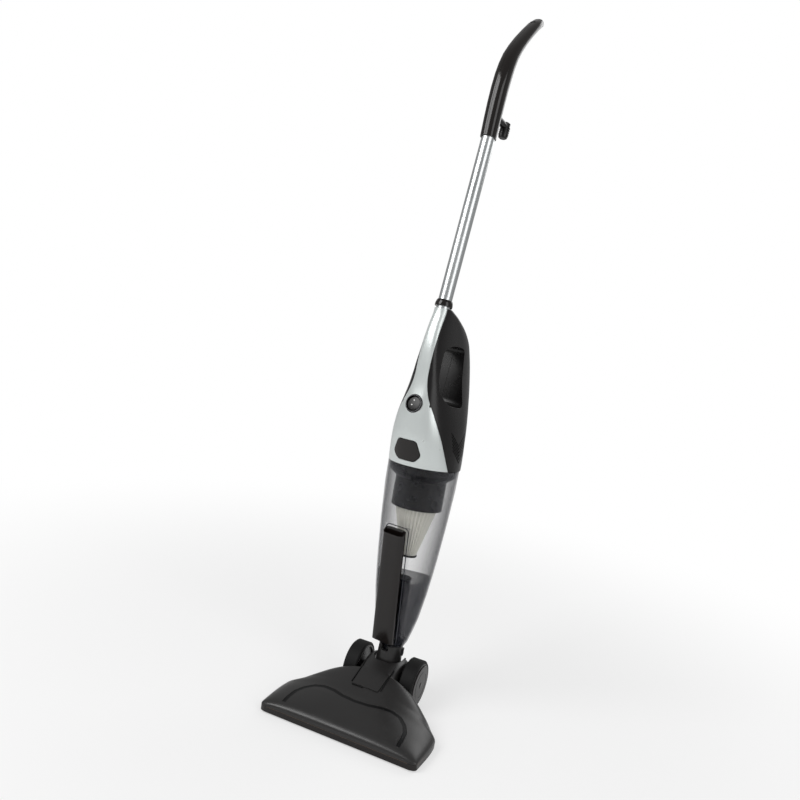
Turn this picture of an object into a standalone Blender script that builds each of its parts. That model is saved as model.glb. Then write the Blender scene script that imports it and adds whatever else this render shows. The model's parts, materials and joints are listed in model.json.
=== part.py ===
"""Corded upright stick vacuum cleaner: a floor head with a tilting, swivelling neck, a clear
dust cup under a hand unit with a loop handle, and a metal tube with a curved top grip.

Lengths are in metres, +Z is up, the head's front looks along -Y and the floor is at z = 0.
The hand unit, cup and tube are built upright in their own leaning frames (empties)."""

import math

import bmesh
import bpy
from mathutils import Vector

GAP = 0.0003

# Floor head
HEAD_WIDTH = 0.254
HEAD_FRONT = -0.1635
HEAD_SIDE_REAR = -0.092
HEAD_REAR = 0.022
HEAD_TAIL_HALF = 0.0345
GROUND_CLEARANCE = 0.0025
SEAM = 0.0110
COVER_WALL = 0.0040
COVER_CROWN = 0.066
COVER_TAIL = 0.058
COVER_END_HEIGHT = 0.021
COVER_NOSE_HEIGHT = 0.019
SLOT_HALF = 0.108
SLOT_DEPTH = 0.030
SLOT_ROOF = 0.0022
SLOT_CENTRE = -0.128
BRUSH_COLUMNS = 75
BRUSH_SHARE = 0.50
BRUSH_OUT = 0.0016
BRUSH_IN = 0.0004
BRUSH_HALF = 0.109
BRUSH_WIDTH = 0.004
BRUSH_BACK = 0.0022
BRUSH_INSET = 0.0083
BAND_WIDTH = 0.0055
BAND_DEPTH = 0.0016
BAND_THICKNESS = 0.0009
PANEL_HALF = 0.024
PANEL_FRONT = -0.076
PANEL_REAR = -0.020
PANEL_THICKNESS = 0.0014
PANEL_LIFT = 0.0004
PANEL_TAPER = 0.0025
RECESS_RADIUS = 0.0235
SCREW_SIDE = 0.0310
SCREW_REAR = -0.0260
CRADLE_WALL = 0.0020
DUCT_HALF = 0.0130
DUCT_DEEP = 0.0050
DUCT_Y = SLOT_CENTRE
DUCT_WALL = 0.0014

# Wheels
WHEEL_RADIUS = 0.0375
WHEEL_OUTER = 0.0617
WHEEL_WIDTH = 0.0250
TYRE_THICKNESS = 0.0045
HUB_BORE = 0.0042
CAP_THICKNESS = 0.0016

# Neck
PIVOT_Y = 0.0029
PIVOT_Z = 0.0365
REST_LEAN = 4.0
REST_SWIVEL = -10.0
BARREL_RADIUS = 0.0155
BARREL_HALF = 0.0125
STEM_RADIUS = 0.0150
STEM_TOP = 0.0290
AIR_BORE = 0.0112
PIN_RADIUS = 0.0040
SOCKET_BOTTOM = 0.0205
SOCKET_TOP = 0.0510
SOCKET_RADIUS = 0.0205
SPIGOT_RADIUS = 0.0142
SPIGOT_BOTTOM = 0.0330
FIT = 0.0004
NECK_BORE = 0.0085
RELEASE_HALF = 0.0042
RELEASE_LOW = SOCKET_BOTTOM + 0.0140
RELEASE_HIGH = RELEASE_LOW + 0.0110
RELEASE_ANGLE = -65.0
NOTCH_HALF = 0.0065

# Dust cup
CUP_WALL = 0.0016
CUP_RADIUS = 0.0563
CUP_TOP = 0.3425
HOLDER_RADIUS = 0.0403
HOLDER_BOTTOM = CUP_TOP - 0.0676
FILTER_LENGTH = 0.0770
FILTER_TOP_RADIUS = 0.0400
FILTER_END_RADIUS = 0.0135
PLEATS = 20
PLEAT_DEPTH = 0.0035
FILTER_TAPER = 0.0035
FILTER_LIFT = 0.0110
INLET_RADIUS = 0.0135
INLET_TOP = 0.1580

# Crevice tool
TOOL_HALF = 0.0190
TOOL_TOP = 0.2440
TOOL_BOTTOM = 0.0600
TOOL_WALL = 0.0018
TOOL_BACK_LOW = 0.0234
TOOL_BACK_SLOPE = 0.120
TOOL_FRONT_LOW = 0.0336
TOOL_FRONT_SLOPE = 0.127
TOOL_REST = 0.0008
TOOL_MOUTH_DROP = 0.0090

# Hand unit
SHELL_WALL = 0.0022
UNIT_LENGTH = 0.2435
UNIT_TOP = CUP_TOP + UNIT_LENGTH
CAVITY_TOP = UNIT_TOP - 0.0280
SWITCH_Z = CUP_TOP + 0.3943 * UNIT_LENGTH
SWITCH_RADIUS = 0.0140
ROCKER_RADIUS = 0.0113
BUTTON_BOTTOM = CUP_TOP + 0.0090
BUTTON_HEIGHT = 0.0315
BUTTON_TOP = BUTTON_BOTTOM + BUTTON_HEIGHT
BUTTON_HALF = 0.0240
BUTTON_INNER = 0.0063
VENT_COUNT = 6
VENT_PITCH = 0.0051
VENT_HALF = 0.0210
VENT_RISE = 0.0200
VENT_THICKNESS = 0.0020
VENT_LOW = CUP_TOP + 0.0140
VENT_BACK = 0.0080
VENT_SHIFT = 0.0012
ROCKER_TILT = 6.0
SWITCH_LEAN = 79.0
GLAND_Z = CUP_TOP + 0.2320 * UNIT_LENGTH
GLAND_RADIUS = 0.0058
GLAND_BORE = 0.0036
STRIP_DEPTH = 0.0070
STRIP_START = CUP_TOP + 0.3655 * UNIT_LENGTH
BACK_SQUARENESS = 2.2
NOZZLE_RADIUS = 0.0128
NOZZLE_HEEL = 0.0023
NOZZLE_SQUARENESS = 2.2

# Motor
MOTOR_RADIUS = 0.0300
MOTOR_BOTTOM = CUP_TOP + 0.1951 * UNIT_LENGTH
MOTOR_LENGTH = 0.0420
MOTOR_WALL = 0.0010
FAN_RADIUS = 0.0360
FAN_HEIGHT = 0.0120
FAN_VANES = 9
SHAFT_RADIUS = 0.0025
ARMATURE_RADIUS = 0.0130
ARMATURE_LENGTH = 0.0220

# Tube and grip
TUBE_BACK = -0.0273
TUBE_FOOT = UNIT_TOP + 0.0054
TUBE_LEAN = 8.9
TUBE_RADIUS = 0.0106
TUBE_WALL = 0.0008
TUBE_INSERT = 0.0380
TUBE_VISIBLE = 0.2680
GRIP_LENGTH = 0.2265
GRIP_INSERT = 0.0320
GRIP_WALL = 0.0022
COLLAR_RADIUS = 0.0138
COLLAR_HEIGHT = 0.0100
HOOK_T = TUBE_VISIBLE + 0.0385
HOOK_PIN = 0.0020
HOOK_START = 0.0110
HOOK_REACH = 0.0460
HOOK_STEM = 0.0056
HOOK_KNOB = 0.0080
HOOK_DROP = 0.0190

# Steps of a full turn
ROUND = 18
COARSE = 12
CUP_STEPS = 20

# Shapes as ratios
# Sections of the hand unit: share of its height, then front, back, half width and place of the widest
# point in cup radii, and how square the front is
UNIT_SHAPE = [
    (0.000, -1.000, 1.000, 1.000, 0.000, 2.00),
    (0.037, -1.034, 1.034, 0.989, 0.018, 2.08),
    (0.107, -1.096, 1.012, 0.970, 0.071, 2.20),
    (0.185, -1.146, 1.012, 0.938, 0.107, 2.30),
    (0.263, -1.162, 1.066, 0.888, 0.142, 2.40),
    (0.341, -1.155, 1.158, 0.808, 0.178, 2.50),
    (0.423, -1.087, 1.258, 0.702, 0.231, 2.70),
    (0.501, -1.027, 1.332, 0.595, 0.284, 3.00),
    (0.579, -0.998, 1.355, 0.497, 0.320, 3.40),
    (0.657, -0.988, 1.309, 0.426, 0.355, 3.60),
    (0.735, -0.963, 1.224, 0.364, 0.355, 3.60),
    (0.817, -0.909, 1.066, 0.320, 0.284, 3.60),
    (0.895, -0.835, 0.710, 0.284, 0.107, 3.40),
    (0.959, -0.742, 0.178, 0.259, -0.142, 3.00),
]
# Silver cover seen from the front: share of the unit's height, half width in cup radii
COVER_SHAPE = [
    (-0.037, 0.968), (0.012, 0.941), (0.201, 0.773), (0.341, 0.560), (0.431, 0.364), (0.480, 0.281),
    (0.530, 0.227), (0.579, 0.202), (0.661, 0.201), (0.825, 0.204), (1.057, 0.195),
]
# Hand opening seen from the side: back in cup radii, share of the unit's height
WINDOW_SHAPE = [
    (-0.533, 0.758), (-0.684, 0.651), (-0.760, 0.544), (-0.710, 0.470), (-0.426, 0.409), (0.266, 0.400),
    (0.329, 0.495), (0.400, 0.598), (0.480, 0.700), (0.533, 0.774), (0.000, 0.786),
]
# Sections of the grip: share of its length above the bare tube, then back, half depth and half width
# in tube radii
GRIP_SHAPE = [
    (0.000, -0.019, 1.151, 1.151),
    (0.106, -0.189, 1.208, 1.189),
    (0.234, -0.330, 1.264, 1.226),
    (0.344, -0.377, 1.274, 1.245),
    (0.433, -0.302, 1.274, 1.245),
    (0.512, -0.113, 1.208, 1.226),
    (0.592, 0.274, 1.094, 1.208),
    (0.671, 0.972, 0.962, 1.179),
    (0.755, 1.934, 0.849, 1.170),
    (0.848, 3.208, 0.783, 1.132),
    (0.932, 4.481, 0.755, 1.085),
    (0.985, 5.472, 0.679, 0.981),
    (1.000, 5.802, 0.425, 0.660),
]
# Half of the trim band's path over the cover: place across, place along the head
BAND_HALF_PATH = [
    (0.0930, HEAD_FRONT + 0.0105), (0.0928, -0.140), (0.0905, -0.124), (0.0835, -0.1115), (0.0710, -0.1005),
    (0.0560, -0.0970), (0.0400, -0.0990), (0.0220, -0.1045), (0.0, -0.1065),
]
# Stations of the duct inside the head: y, z, lean of the section in degrees, half width, half height
DUCT_STATIONS = [
    (DUCT_Y, SEAM + GAP, 90, DUCT_HALF, DUCT_DEEP),
    (DUCT_Y + 0.0010, SEAM + 0.0040, 78, DUCT_HALF, DUCT_DEEP),
    (DUCT_Y + 0.0060, SEAM + 0.0090, 40, DUCT_HALF, DUCT_DEEP),
    (DUCT_Y + 0.0200, SEAM + 0.0120, 12, DUCT_HALF, DUCT_DEEP + 0.0005),
    (-0.0750, 0.0290, 12, 0.0120, 0.0070),
    (-0.0400, 0.0345, 6, 0.0105, 0.0090),
    (PIVOT_Y - BARREL_RADIUS - 0.0100, 0.0360, 2, 0.0095, 0.0095),
]
# Outer radius of the cup along its height, above the shoulder on the neck
CUP_CURVE = [
    (SOCKET_TOP + 0.0005, 0.0205), (0.060, 0.0248), (0.080, 0.0305), (0.100, 0.0353), (0.140, 0.0416),
    (0.200, 0.0480), (0.260, 0.0528), (0.310, 0.0558), (CUP_TOP, CUP_RADIUS),
]


# ---------------------------------------------------------------- helpers

def clear_scene():
    for old in list(bpy.data.objects):
        bpy.data.objects.remove(old)


def material(name, colour, roughness, metallic=0.0, alpha=1.0):
    made = bpy.data.materials.new(name)
    made.use_nodes = True
    shader = made.node_tree.nodes["Principled BSDF"]
    shader.inputs["Base Color"].default_value = (*colour, 1.0)
    shader.inputs["Roughness"].default_value = roughness
    shader.inputs["Metallic"].default_value = metallic
    shader.inputs["Alpha"].default_value = alpha
    return made


def frame_empty(name, location, rotation_degrees, parent=None):
    empty = bpy.data.objects.new(name, None)
    bpy.context.scene.collection.objects.link(empty)
    empty.rotation_mode = "XYZ"
    empty.location = location
    empty.rotation_euler = [math.radians(a) for a in rotation_degrees]
    empty.parent = parent
    return empty


def add_object(name, bm, surface, parent=None, location=(0, 0, 0), rotation=(0, 0, 0), sharp=35):
    bmesh.ops.remove_doubles(bm, verts=bm.verts, dist=1e-7)
    bmesh.ops.recalc_face_normals(bm, faces=bm.faces)
    mesh = bpy.data.meshes.new(name)
    bm.to_mesh(mesh)
    bm.free()
    mesh.shade_smooth()
    mesh.set_sharp_from_angle(angle=math.radians(sharp))
    mesh.materials.append(surface)
    made = bpy.data.objects.new(name, mesh)
    bpy.context.scene.collection.objects.link(made)
    made.parent = parent
    made.location = location
    made.rotation_euler = [math.radians(a) for a in rotation]
    return made


def add_cutter(name, bm, parent=None, location=(0, 0, 0), rotation=(0, 0, 0)):
    made = add_object(name, bm, CUTTER_SURFACE, parent, location, rotation)
    made.hide_render = True
    made.display_type = "WIRE"
    return made


def boolean(target, cutter, operation="DIFFERENCE"):
    change = target.modifiers.new(cutter.name, "BOOLEAN")
    change.operation = operation
    change.solver = "EXACT"
    change.object = cutter
    return target


def circle(radius, z=0.0, steps=ROUND, centre=(0.0, 0.0)):
    turn = 2 * math.pi / steps
    return [
        Vector((centre[0] + radius * math.cos(i * turn), centre[1] + radius * math.sin(i * turn), z))
        for i in range(steps)
    ]


def loft(rings, closed=False):
    """A skin through rings of equal count; both ends are capped unless the rings close on themselves."""
    bm = bmesh.new()
    rows = [[bm.verts.new(p) for p in ring] for ring in rings]
    pairs = list(zip(rows, rows[1:]))
    if closed:
        pairs.append((rows[-1], rows[0]))
    for low, high in pairs:
        count = len(low)
        for i in range(count):
            j = (i + 1) % count
            bm.faces.new((low[i], low[j], high[j], high[i]))
    if not closed:
        bm.faces.new(list(reversed(rows[0])))
        bm.faces.new(rows[-1])
    return bm


def turned(profile, steps=ROUND):
    """A ring-shaped solid: the closed outline (radius, z) turned about Z, no point on the axis."""
    return loft([circle(r, z, steps) for r, z in profile], closed=True)


def rod(radius, low, high, steps=ROUND, chamfer=0.0):
    rings = [(radius, low), (radius, high)]
    if chamfer:
        rings = [
            (radius - chamfer, low), (radius, low + chamfer), (radius, high - chamfer),
            (radius - chamfer, high)
        ]
    return loft([circle(r, z, steps) for r, z in rings])


def prism(outline, low, high, axis="Z"):
    """A straight extrusion of a plane outline along X, Y or Z."""
    def place(a, b, c):
        return Vector({"Z": (a, b, c), "X": (c, a, b), "Y": (a, c, b)}[axis])
    return loft([[place(a, b, low) for a, b in outline], [place(a, b, high) for a, b in outline]])


def block(x0, x1, y0, y1, z0, z1):
    return prism([(x0, y0), (x1, y0), (x1, y1), (x0, y1)], z0, z1)


def between(table, at):
    """Smooth value at a place in a table of (place, value) rows."""
    places = [row[0] for row in table]
    if at <= places[0]:
        return table[0][1]
    if at >= places[-1]:
        return table[-1][1]
    k = max(i for i, place in enumerate(places) if place <= at)
    span = places[k + 1] - places[k]
    t = (at - places[k]) / span

    def slope(i):
        if i in (0, len(table) - 1):
            j = 1 if i == 0 else i
            return (table[j][1] - table[j - 1][1]) / (places[j] - places[j - 1])
        return (table[i + 1][1] - table[i - 1][1]) / (places[i + 1] - places[i - 1])

    a, b = table[k][1], table[k + 1][1]
    ma, mb = slope(k) * span, slope(k + 1) * span
    return (
        (2 * t**3 - 3 * t**2 + 1) * a + (t**3 - 2 * t**2 + t) * ma
        + (3 * t**2 - 2 * t**3) * b + (t**3 - t**2) * mb
    )


def power(value, exponent):
    return math.copysign(abs(value) ** exponent, value)


def rounded(points, radius, steps=2):
    """The outline with each corner replaced by a short smooth curve."""
    out = []
    count = len(points)
    for i in range(count):
        before, here, after = (Vector(points[(i + k) % count]) for k in (-1, 0, 1))
        start = here + (before - here).normalized() * min(radius, (before - here).length * 0.45)
        end = here + (after - here).normalized() * min(radius, (after - here).length * 0.45)
        for s in range(steps + 1):
            t = s / steps
            out.append(tuple(start * (1 - t) ** 2 + here * 2 * t * (1 - t) + end * t**2))
    return out


clear_scene()
CUTTER_SURFACE = material("cutter", (0.8, 0.2, 0.2), 0.5)
BLACK = material("satin_black", (0.022, 0.022, 0.024), 0.42)
DARK = material("dark_grey_plastic", (0.045, 0.044, 0.045), 0.45)
GLOSS = material("gloss_black", (0.012, 0.012, 0.016), 0.12)
SILVER = material("silver_plastic", (0.66, 0.69, 0.68), 0.32, 0.55)
CLEAR = material("smoky_clear", (0.30, 0.31, 0.34), 0.05, 0.0, 0.35)
METAL = material("brushed_metal", (0.62, 0.63, 0.65), 0.28, 1.0)
STEEL = material("steel", (0.45, 0.45, 0.46), 0.35, 1.0)
COPPER = material("dark_iron", (0.20, 0.16, 0.13), 0.45, 0.8)
RUBBER = material("black_rubber", (0.015, 0.015, 0.015), 0.75)
PAPER = material("white_filter", (0.88, 0.88, 0.86), 0.8)
BRISTLE = material("black_bristle", (0.03, 0.03, 0.03), 0.6)


# ---------------------------------------------------------------- floor head

HEAD_HALF = HEAD_WIDTH / 2
WHEEL_INNER = WHEEL_OUTER - WHEEL_WIDTH
HEAD_HALF_WIDTHS = [
    (HEAD_FRONT, HEAD_HALF - 0.0090),
    (HEAD_FRONT + 0.0025, HEAD_HALF - 0.0025),
    (HEAD_FRONT + 0.0070, HEAD_HALF),
    (HEAD_SIDE_REAR, HEAD_HALF),
    (HEAD_SIDE_REAR + 0.014, HEAD_HALF - 0.010),
    (HEAD_SIDE_REAR + 0.033, HEAD_HALF - 0.027),
    (-WHEEL_RADIUS - 0.0060, 0.0720),
    (-WHEEL_RADIUS - 0.0020, HEAD_TAIL_HALF + 0.0040),
    (-WHEEL_RADIUS + 0.0020, HEAD_TAIL_HALF),
    (HEAD_REAR - 0.004, HEAD_TAIL_HALF),
    (HEAD_REAR, HEAD_TAIL_HALF - 0.004),
]
# Rows of the cover from front to back: place, crown height, height at the two ends
COVER_ROWS = [
    (HEAD_FRONT, SEAM, SEAM),
    (HEAD_FRONT + 0.0008, COVER_NOSE_HEIGHT - 0.003, COVER_NOSE_HEIGHT - 0.004),
    (HEAD_FRONT + 0.0035, COVER_NOSE_HEIGHT + 0.001, COVER_NOSE_HEIGHT - 0.0015),
    (HEAD_FRONT + 0.0100, COVER_NOSE_HEIGHT + 0.005, COVER_END_HEIGHT - 0.001),
    (HEAD_FRONT + 0.0200, COVER_NOSE_HEIGHT + 0.0085, COVER_END_HEIGHT),
    (HEAD_FRONT + 0.0350, COVER_NOSE_HEIGHT + 0.0125, COVER_END_HEIGHT),
    (HEAD_FRONT + 0.0520, COVER_NOSE_HEIGHT + 0.0160, COVER_END_HEIGHT),
    (HEAD_SIDE_REAR, COVER_NOSE_HEIGHT + 0.0190, COVER_END_HEIGHT),
    (HEAD_SIDE_REAR + 0.014, COVER_CROWN - 0.0230, COVER_END_HEIGHT + 0.001),
    (HEAD_SIDE_REAR + 0.033, COVER_CROWN - 0.0160, COVER_END_HEIGHT + 0.004),
    (-WHEEL_RADIUS - 0.0060, COVER_CROWN - 0.0105, COVER_END_HEIGHT + 0.010),
    (-WHEEL_RADIUS - 0.0020, COVER_CROWN - 0.0090, COVER_TAIL - 0.013),
    (-WHEEL_RADIUS + 0.0140, COVER_CROWN - 0.0035, COVER_TAIL - 0.004),
    (-0.0060, COVER_CROWN, COVER_TAIL),
    (HEAD_REAR - 0.0100, COVER_CROWN - 0.001, COVER_TAIL - 0.001),
    (HEAD_REAR - 0.0030, COVER_CROWN - 0.005, COVER_TAIL - 0.005),
    (HEAD_REAR - 0.0008, COVER_CROWN - 0.011, COVER_TAIL - 0.010),
    (HEAD_REAR, SEAM, SEAM),
]
COVER_COLUMNS = 12


def linear(table, at, column=1):
    for low, high in zip(table, table[1:]):
        if at <= high[0]:
            t = min(1.0, max(0.0, (at - low[0]) / (high[0] - low[0])))
            return low[column] + t * (high[column] - low[column])
    return table[-1][column]


def head_half_width(y):
    return linear(HEAD_HALF_WIDTHS, y)


def cover_height(x, y, inset=0.0):
    half = head_half_width(y) - inset
    share = min(1.0, abs(x) / half)
    crown = linear(COVER_ROWS, y, 1) - inset
    end = linear(COVER_ROWS, y, 2) - inset
    side = max(0.0, end - SEAM) * math.sqrt(max(0.0, 1 - share**9))
    return SEAM + GAP + side + max(0.0, crown - end) * (1 - share**2.6)


def cover_grid(bm, inset):
    rows = []
    last = len(COVER_ROWS) - 1
    for k, row in enumerate(COVER_ROWS):
        y = min(max(row[0], HEAD_FRONT + inset), HEAD_REAR - inset)
        if inset and 0 < k < last:
            y = HEAD_FRONT + inset + (row[0] - HEAD_FRONT) * (1 - 2 * inset / (HEAD_REAR - HEAD_FRONT))
        half = head_half_width(row[0]) - inset
        line = []
        for i in range(COVER_COLUMNS + 1):
            share = math.sin(math.pi * (i / COVER_COLUMNS - 0.5))
            flat = k in (0, last) or i in (0, COVER_COLUMNS)
            z = SEAM + GAP
            if not flat:
                side = (row[2] - inset - SEAM) * math.sqrt(1 - abs(share) ** 9)
                z += side + (row[1] - row[2]) * (1 - abs(share) ** 2.6)
            line.append(bm.verts.new((share * half, y, z)))
        rows.append(line)
    for low, high in zip(rows, rows[1:]):
        for i in range(COVER_COLUMNS):
            bm.faces.new((low[i], low[i + 1], high[i + 1], high[i]))
    edge = rows[0] + [row[-1] for row in rows[1:-1]] + rows[-1][::-1] + [row[0] for row in rows[-2:0:-1]]
    return edge


def head_cover():
    bm = bmesh.new()
    outer = cover_grid(bm, 0.0)
    inner = cover_grid(bm, COVER_WALL)
    count = len(outer)
    for i in range(count):
        j = (i + 1) % count
        bm.faces.new((outer[i], outer[j], inner[j], inner[i]))
    cover = add_object("head_cover", bm, DARK, sharp=40)
    for place in SCREW_PLACES:
        top = cover_height(*place) - COVER_WALL / 2
        post = loft([circle(0.0034, z, 8, place) for z in (SEAM + GAP, top)])
        boolean(cover, add_cutter("screw_post", post), "UNION")
    boolean(cover, add_cutter("recess_cut", prism(recess_outline(RECESS_RADIUS), -0.01, 0.08)))
    boolean(cover, add_cutter("band_groove", surface_band(BAND_WIDTH / 2 + GAP, -BAND_DEPTH, 0.004)))
    axle_hole = rod(HUB_BORE, -HEAD_HALF / 2, HEAD_HALF / 2, 12)
    boolean(cover, add_cutter("axle_hole", axle_hole, location=(0, 0, WHEEL_RADIUS), rotation=(0, 90, 0)))
    for place in SCREW_PLACES:
        hole = loft([circle(0.0014 + GAP, z, 8, place) for z in (0.0, SEAM + 0.0068)])
        boolean(cover, add_cutter("post_hole", hole))
    return cover


SCREW_PLACES = [
    (side * across, y)
    for across, y in ((HEAD_HALF - SCREW_SIDE, HEAD_SIDE_REAR - 0.008), (RECESS_RADIUS + 0.005, SCREW_REAR))
    for side in (-1, 1)
]


def recess_outline(radius):
    arc = [math.pi * (1 + i / 12) for i in range(13)]
    points = [(radius * math.cos(a), PIVOT_Y + radius * math.sin(a)) for a in arc]
    return points + [(radius, HEAD_REAR + 0.02), (-radius, HEAD_REAR + 0.02)]


def surface_band(half, low, high):
    """A ribbon that follows the cover's top along the arched path, from one height over it to another."""
    mirrored = [(-x, y) for x, y in reversed(BAND_HALF_PATH[:-1])]
    path = [Vector((x, y)) for x, y in BAND_HALF_PATH + mirrored]
    rings = []
    for i, point in enumerate(path):
        ahead = path[min(i + 1, len(path) - 1)] - path[max(i - 1, 0)]
        side = Vector((-ahead.y, ahead.x)).normalized() * half
        left, right = point + side, point - side
        zl, zr = cover_height(*left), cover_height(*right)
        rings.append([
            Vector((*left, zl + low)), Vector((*right, zr + low)),
            Vector((*right, zr + high)), Vector((*left, zl + high)),
        ])
    return loft(rings)


def head_trim_band():
    return add_object(
        "head_trim_band",
        surface_band(BAND_WIDTH / 2, -BAND_DEPTH + GAP, -BAND_DEPTH + GAP + BAND_THICKNESS),
        GLOSS,
    )


def cover_form(raised):
    """The cover's outer form as a closed solid, lifted by a height."""
    bm = bmesh.new()
    edge = cover_grid(bm, 0.0)
    bm.faces.new(edge)
    bmesh.ops.translate(bm, verts=bm.verts, vec=(0.0, 0.0, raised))
    return bm


def centre_panel():
    """The raised plate on the middle of the cover, from the neck's recess forward."""
    panel = add_object("centre_panel", cover_form(PANEL_LIFT + PANEL_THICKNESS), DARK)
    narrow = PANEL_HALF - PANEL_TAPER
    outline = [
        (-narrow, PANEL_FRONT), (narrow, PANEL_FRONT), (PANEL_HALF, PANEL_REAR), (-PANEL_HALF, PANEL_REAR)
    ]
    region = prism(rounded(outline, PANEL_TAPER), COVER_NOSE_HEIGHT, 2 * COVER_CROWN)
    boolean(panel, add_cutter("panel_region", region), "INTERSECT")
    boolean(panel, add_cutter("panel_underside", cover_form(PANEL_LIFT)))
    return panel


def head_base():
    right = [(head_half_width(y), y) for y, _ in HEAD_HALF_WIDTHS]
    outline = right + [(-x, y) for x, y in reversed(right)]
    base = add_object("head_base", prism(outline, GROUND_CLEARANCE, SEAM), GLOSS)
    slot = block(
        -SLOT_HALF - 0.002, SLOT_HALF + 0.002, SLOT_CENTRE - SLOT_DEPTH / 2, SLOT_CENTRE + SLOT_DEPTH / 2,
        -0.01, SEAM - SLOT_ROOF,
    )
    boolean(base, add_cutter("suction_slot", slot))
    mouth = block(-DUCT_HALF, DUCT_HALF, DUCT_Y - DUCT_DEEP, DUCT_Y + DUCT_DEEP, 0, 0.02)
    boolean(base, add_cutter("duct_mouth", mouth))
    for place in SCREW_PLACES:
        hole = loft([circle(0.0014 + GAP, z, 8, place) for z in (0.0, 0.02)])
        boolean(base, add_cutter("base_hole", hole))
        sink = loft([circle(0.0028 + GAP, z, 10, place) for z in (0.0, GROUND_CLEARANCE + 0.0024)])
        boolean(base, add_cutter("base_sink", sink))
    return base


def suction_duct():
    def ring(y, z, lean, half_width, half_height, grow):
        angle = math.radians(lean)
        up = Vector((0, -math.sin(angle), math.cos(angle)))
        points = []
        for i in range(12):
            turn = 2 * math.pi * i / 12
            across = (half_width + grow) * power(math.cos(turn), 0.6)
            points.append(Vector((across, y, z)) + up * (half_height + grow) * power(math.sin(turn), 0.6))
        return points
    outer = [ring(*station, DUCT_WALL) for station in DUCT_STATIONS]
    inner = [ring(*station, 0.0) for station in reversed(DUCT_STATIONS)]
    return add_object("suction_duct", loft(outer + inner, closed=True), BLACK)


def bristle_strip(name, centre_y):
    """Two rows of three-sided strands, each drawn straight down out of the backing's underside."""
    pitch = 2 * BRUSH_HALF / BRUSH_COLUMNS
    side = pitch * BRUSH_SHARE
    low = BRUSH_INSET - BRUSH_BACK
    half = BRUSH_WIDTH / 2
    bm = bmesh.new()

    def point(x, y, z=low):
        return bm.verts.new((x, centre_y + y, z))

    corners = [point(sx * BRUSH_HALF, sy * half) for sx, sy in ((-1, -1), (1, -1), (1, 1), (-1, 1))]
    borders = []
    for row in (-1, 1):
        outside, inside = [], []
        for i in range(BRUSH_COLUMNS):
            left = -BRUSH_HALF + (i + 0.5) * pitch - side / 2
            out, inward = row * BRUSH_OUT, row * BRUSH_IN
            foot = [(left, out), (left + side, out), (left + side / 2, inward)]
            root = [point(x, y) for x, y in foot]
            tip = [point(x, y, 0.0) for x, y in foot]
            for a in range(3):
                b = (a + 1) % 3
                bm.faces.new((root[a], root[b], tip[b], tip[a]))
            bm.faces.new(tip)
            outside += root[:2]
            inside.append(root[2])
        for i in range(BRUSH_COLUMNS - 1):
            bm.faces.new((outside[2 * i + 1], outside[2 * i + 2], inside[i + 1], inside[i]))
        borders.append((outside, inside))
    (front, front_in), (rear, rear_in) = borders
    bm.faces.new([corners[0], *front, corners[1]])
    bm.faces.new([corners[3], *rear, corners[2]])
    bm.faces.new([*front_in, *rear_in[::-1]])
    bm.faces.new([corners[0], front[0], front_in[0], rear_in[0], rear[0], corners[3]])
    bm.faces.new([corners[1], front[-1], front_in[-1], rear_in[-1], rear[-1], corners[2]])
    lifted = [bm.verts.new(v.co + Vector((0, 0, BRUSH_BACK))) for v in corners]
    for k in range(4):
        n = (k + 1) % 4
        bm.faces.new((corners[k], corners[n], lifted[n], lifted[k]))
    bm.faces.new(lifted)
    return add_object(name, bm, BRISTLE)


def head_screw(name, place):
    rings = [
        (0.0018, GROUND_CLEARANCE), (0.0028, GROUND_CLEARANCE + 0.0006), (0.0028, GROUND_CLEARANCE + 0.0021),
        (0.0014, GROUND_CLEARANCE + 0.0022), (0.0014, SEAM + 0.0060), (0.0006, SEAM + 0.0065),
    ]
    return add_object(name, loft([circle(r, z, 6) for r, z in rings]), STEEL, location=(*place, 0))


def neck_cradle():
    """The tub in the head's rear that the neck's barrel turns in, open to the back."""
    outer = recess_outline(RECESS_RADIUS - GAP)
    inner = recess_outline(RECESS_RADIUS - GAP - CRADLE_WALL)
    top = COVER_CROWN - COVER_WALL
    tub = add_object("neck_cradle", prism(outer, SEAM + GAP, top), BLACK)
    boolean(tub, add_cutter("cradle_hollow", prism(inner, SEAM - 0.005, top + 0.01)))
    tail = block(-0.05, 0.05, HEAD_REAR - 0.0005, HEAD_REAR + 0.05, 0, 0.1)
    boolean(tub, add_cutter("cradle_tail", tail))
    air = rod(AIR_BORE, -0.04, 0.0, 16)
    boolean(tub, add_cutter("cradle_air", air, location=(0, PIVOT_Y, 0.036), rotation=(-90, 0, 0)))
    pins = rod(PIN_RADIUS + GAP, -0.03, 0.03, 12)
    boolean(tub, add_cutter("cradle_pins", pins, location=(0, PIVOT_Y, PIVOT_Z), rotation=(0, 90, 0)))
    return tub


def build_head():
    head_base()
    head_cover()
    head_trim_band()
    centre_panel()
    suction_duct()
    neck_cradle()
    edge = SLOT_DEPTH / 2 - BRUSH_WIDTH / 2 - GAP
    bristle_strip("front_bristles", SLOT_CENTRE - edge)
    bristle_strip("rear_bristles", SLOT_CENTRE + edge)
    for number, place in enumerate(SCREW_PLACES, 1):
        head_screw(f"head_screw_{number}", place)
    for side, name in ((-1, "left"), (1, "right")):
        pin = rod(PIN_RADIUS, BARREL_HALF - 0.0030, RECESS_RADIUS - GAP, 12, 0.0004)
        place = (0, PIVOT_Y, PIVOT_Z)
        add_object(f"pivot_pin_{name}", pin, STEEL, location=place, rotation=(0, 90 * side, 0))


# ---------------------------------------------------------------- wheels

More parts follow.
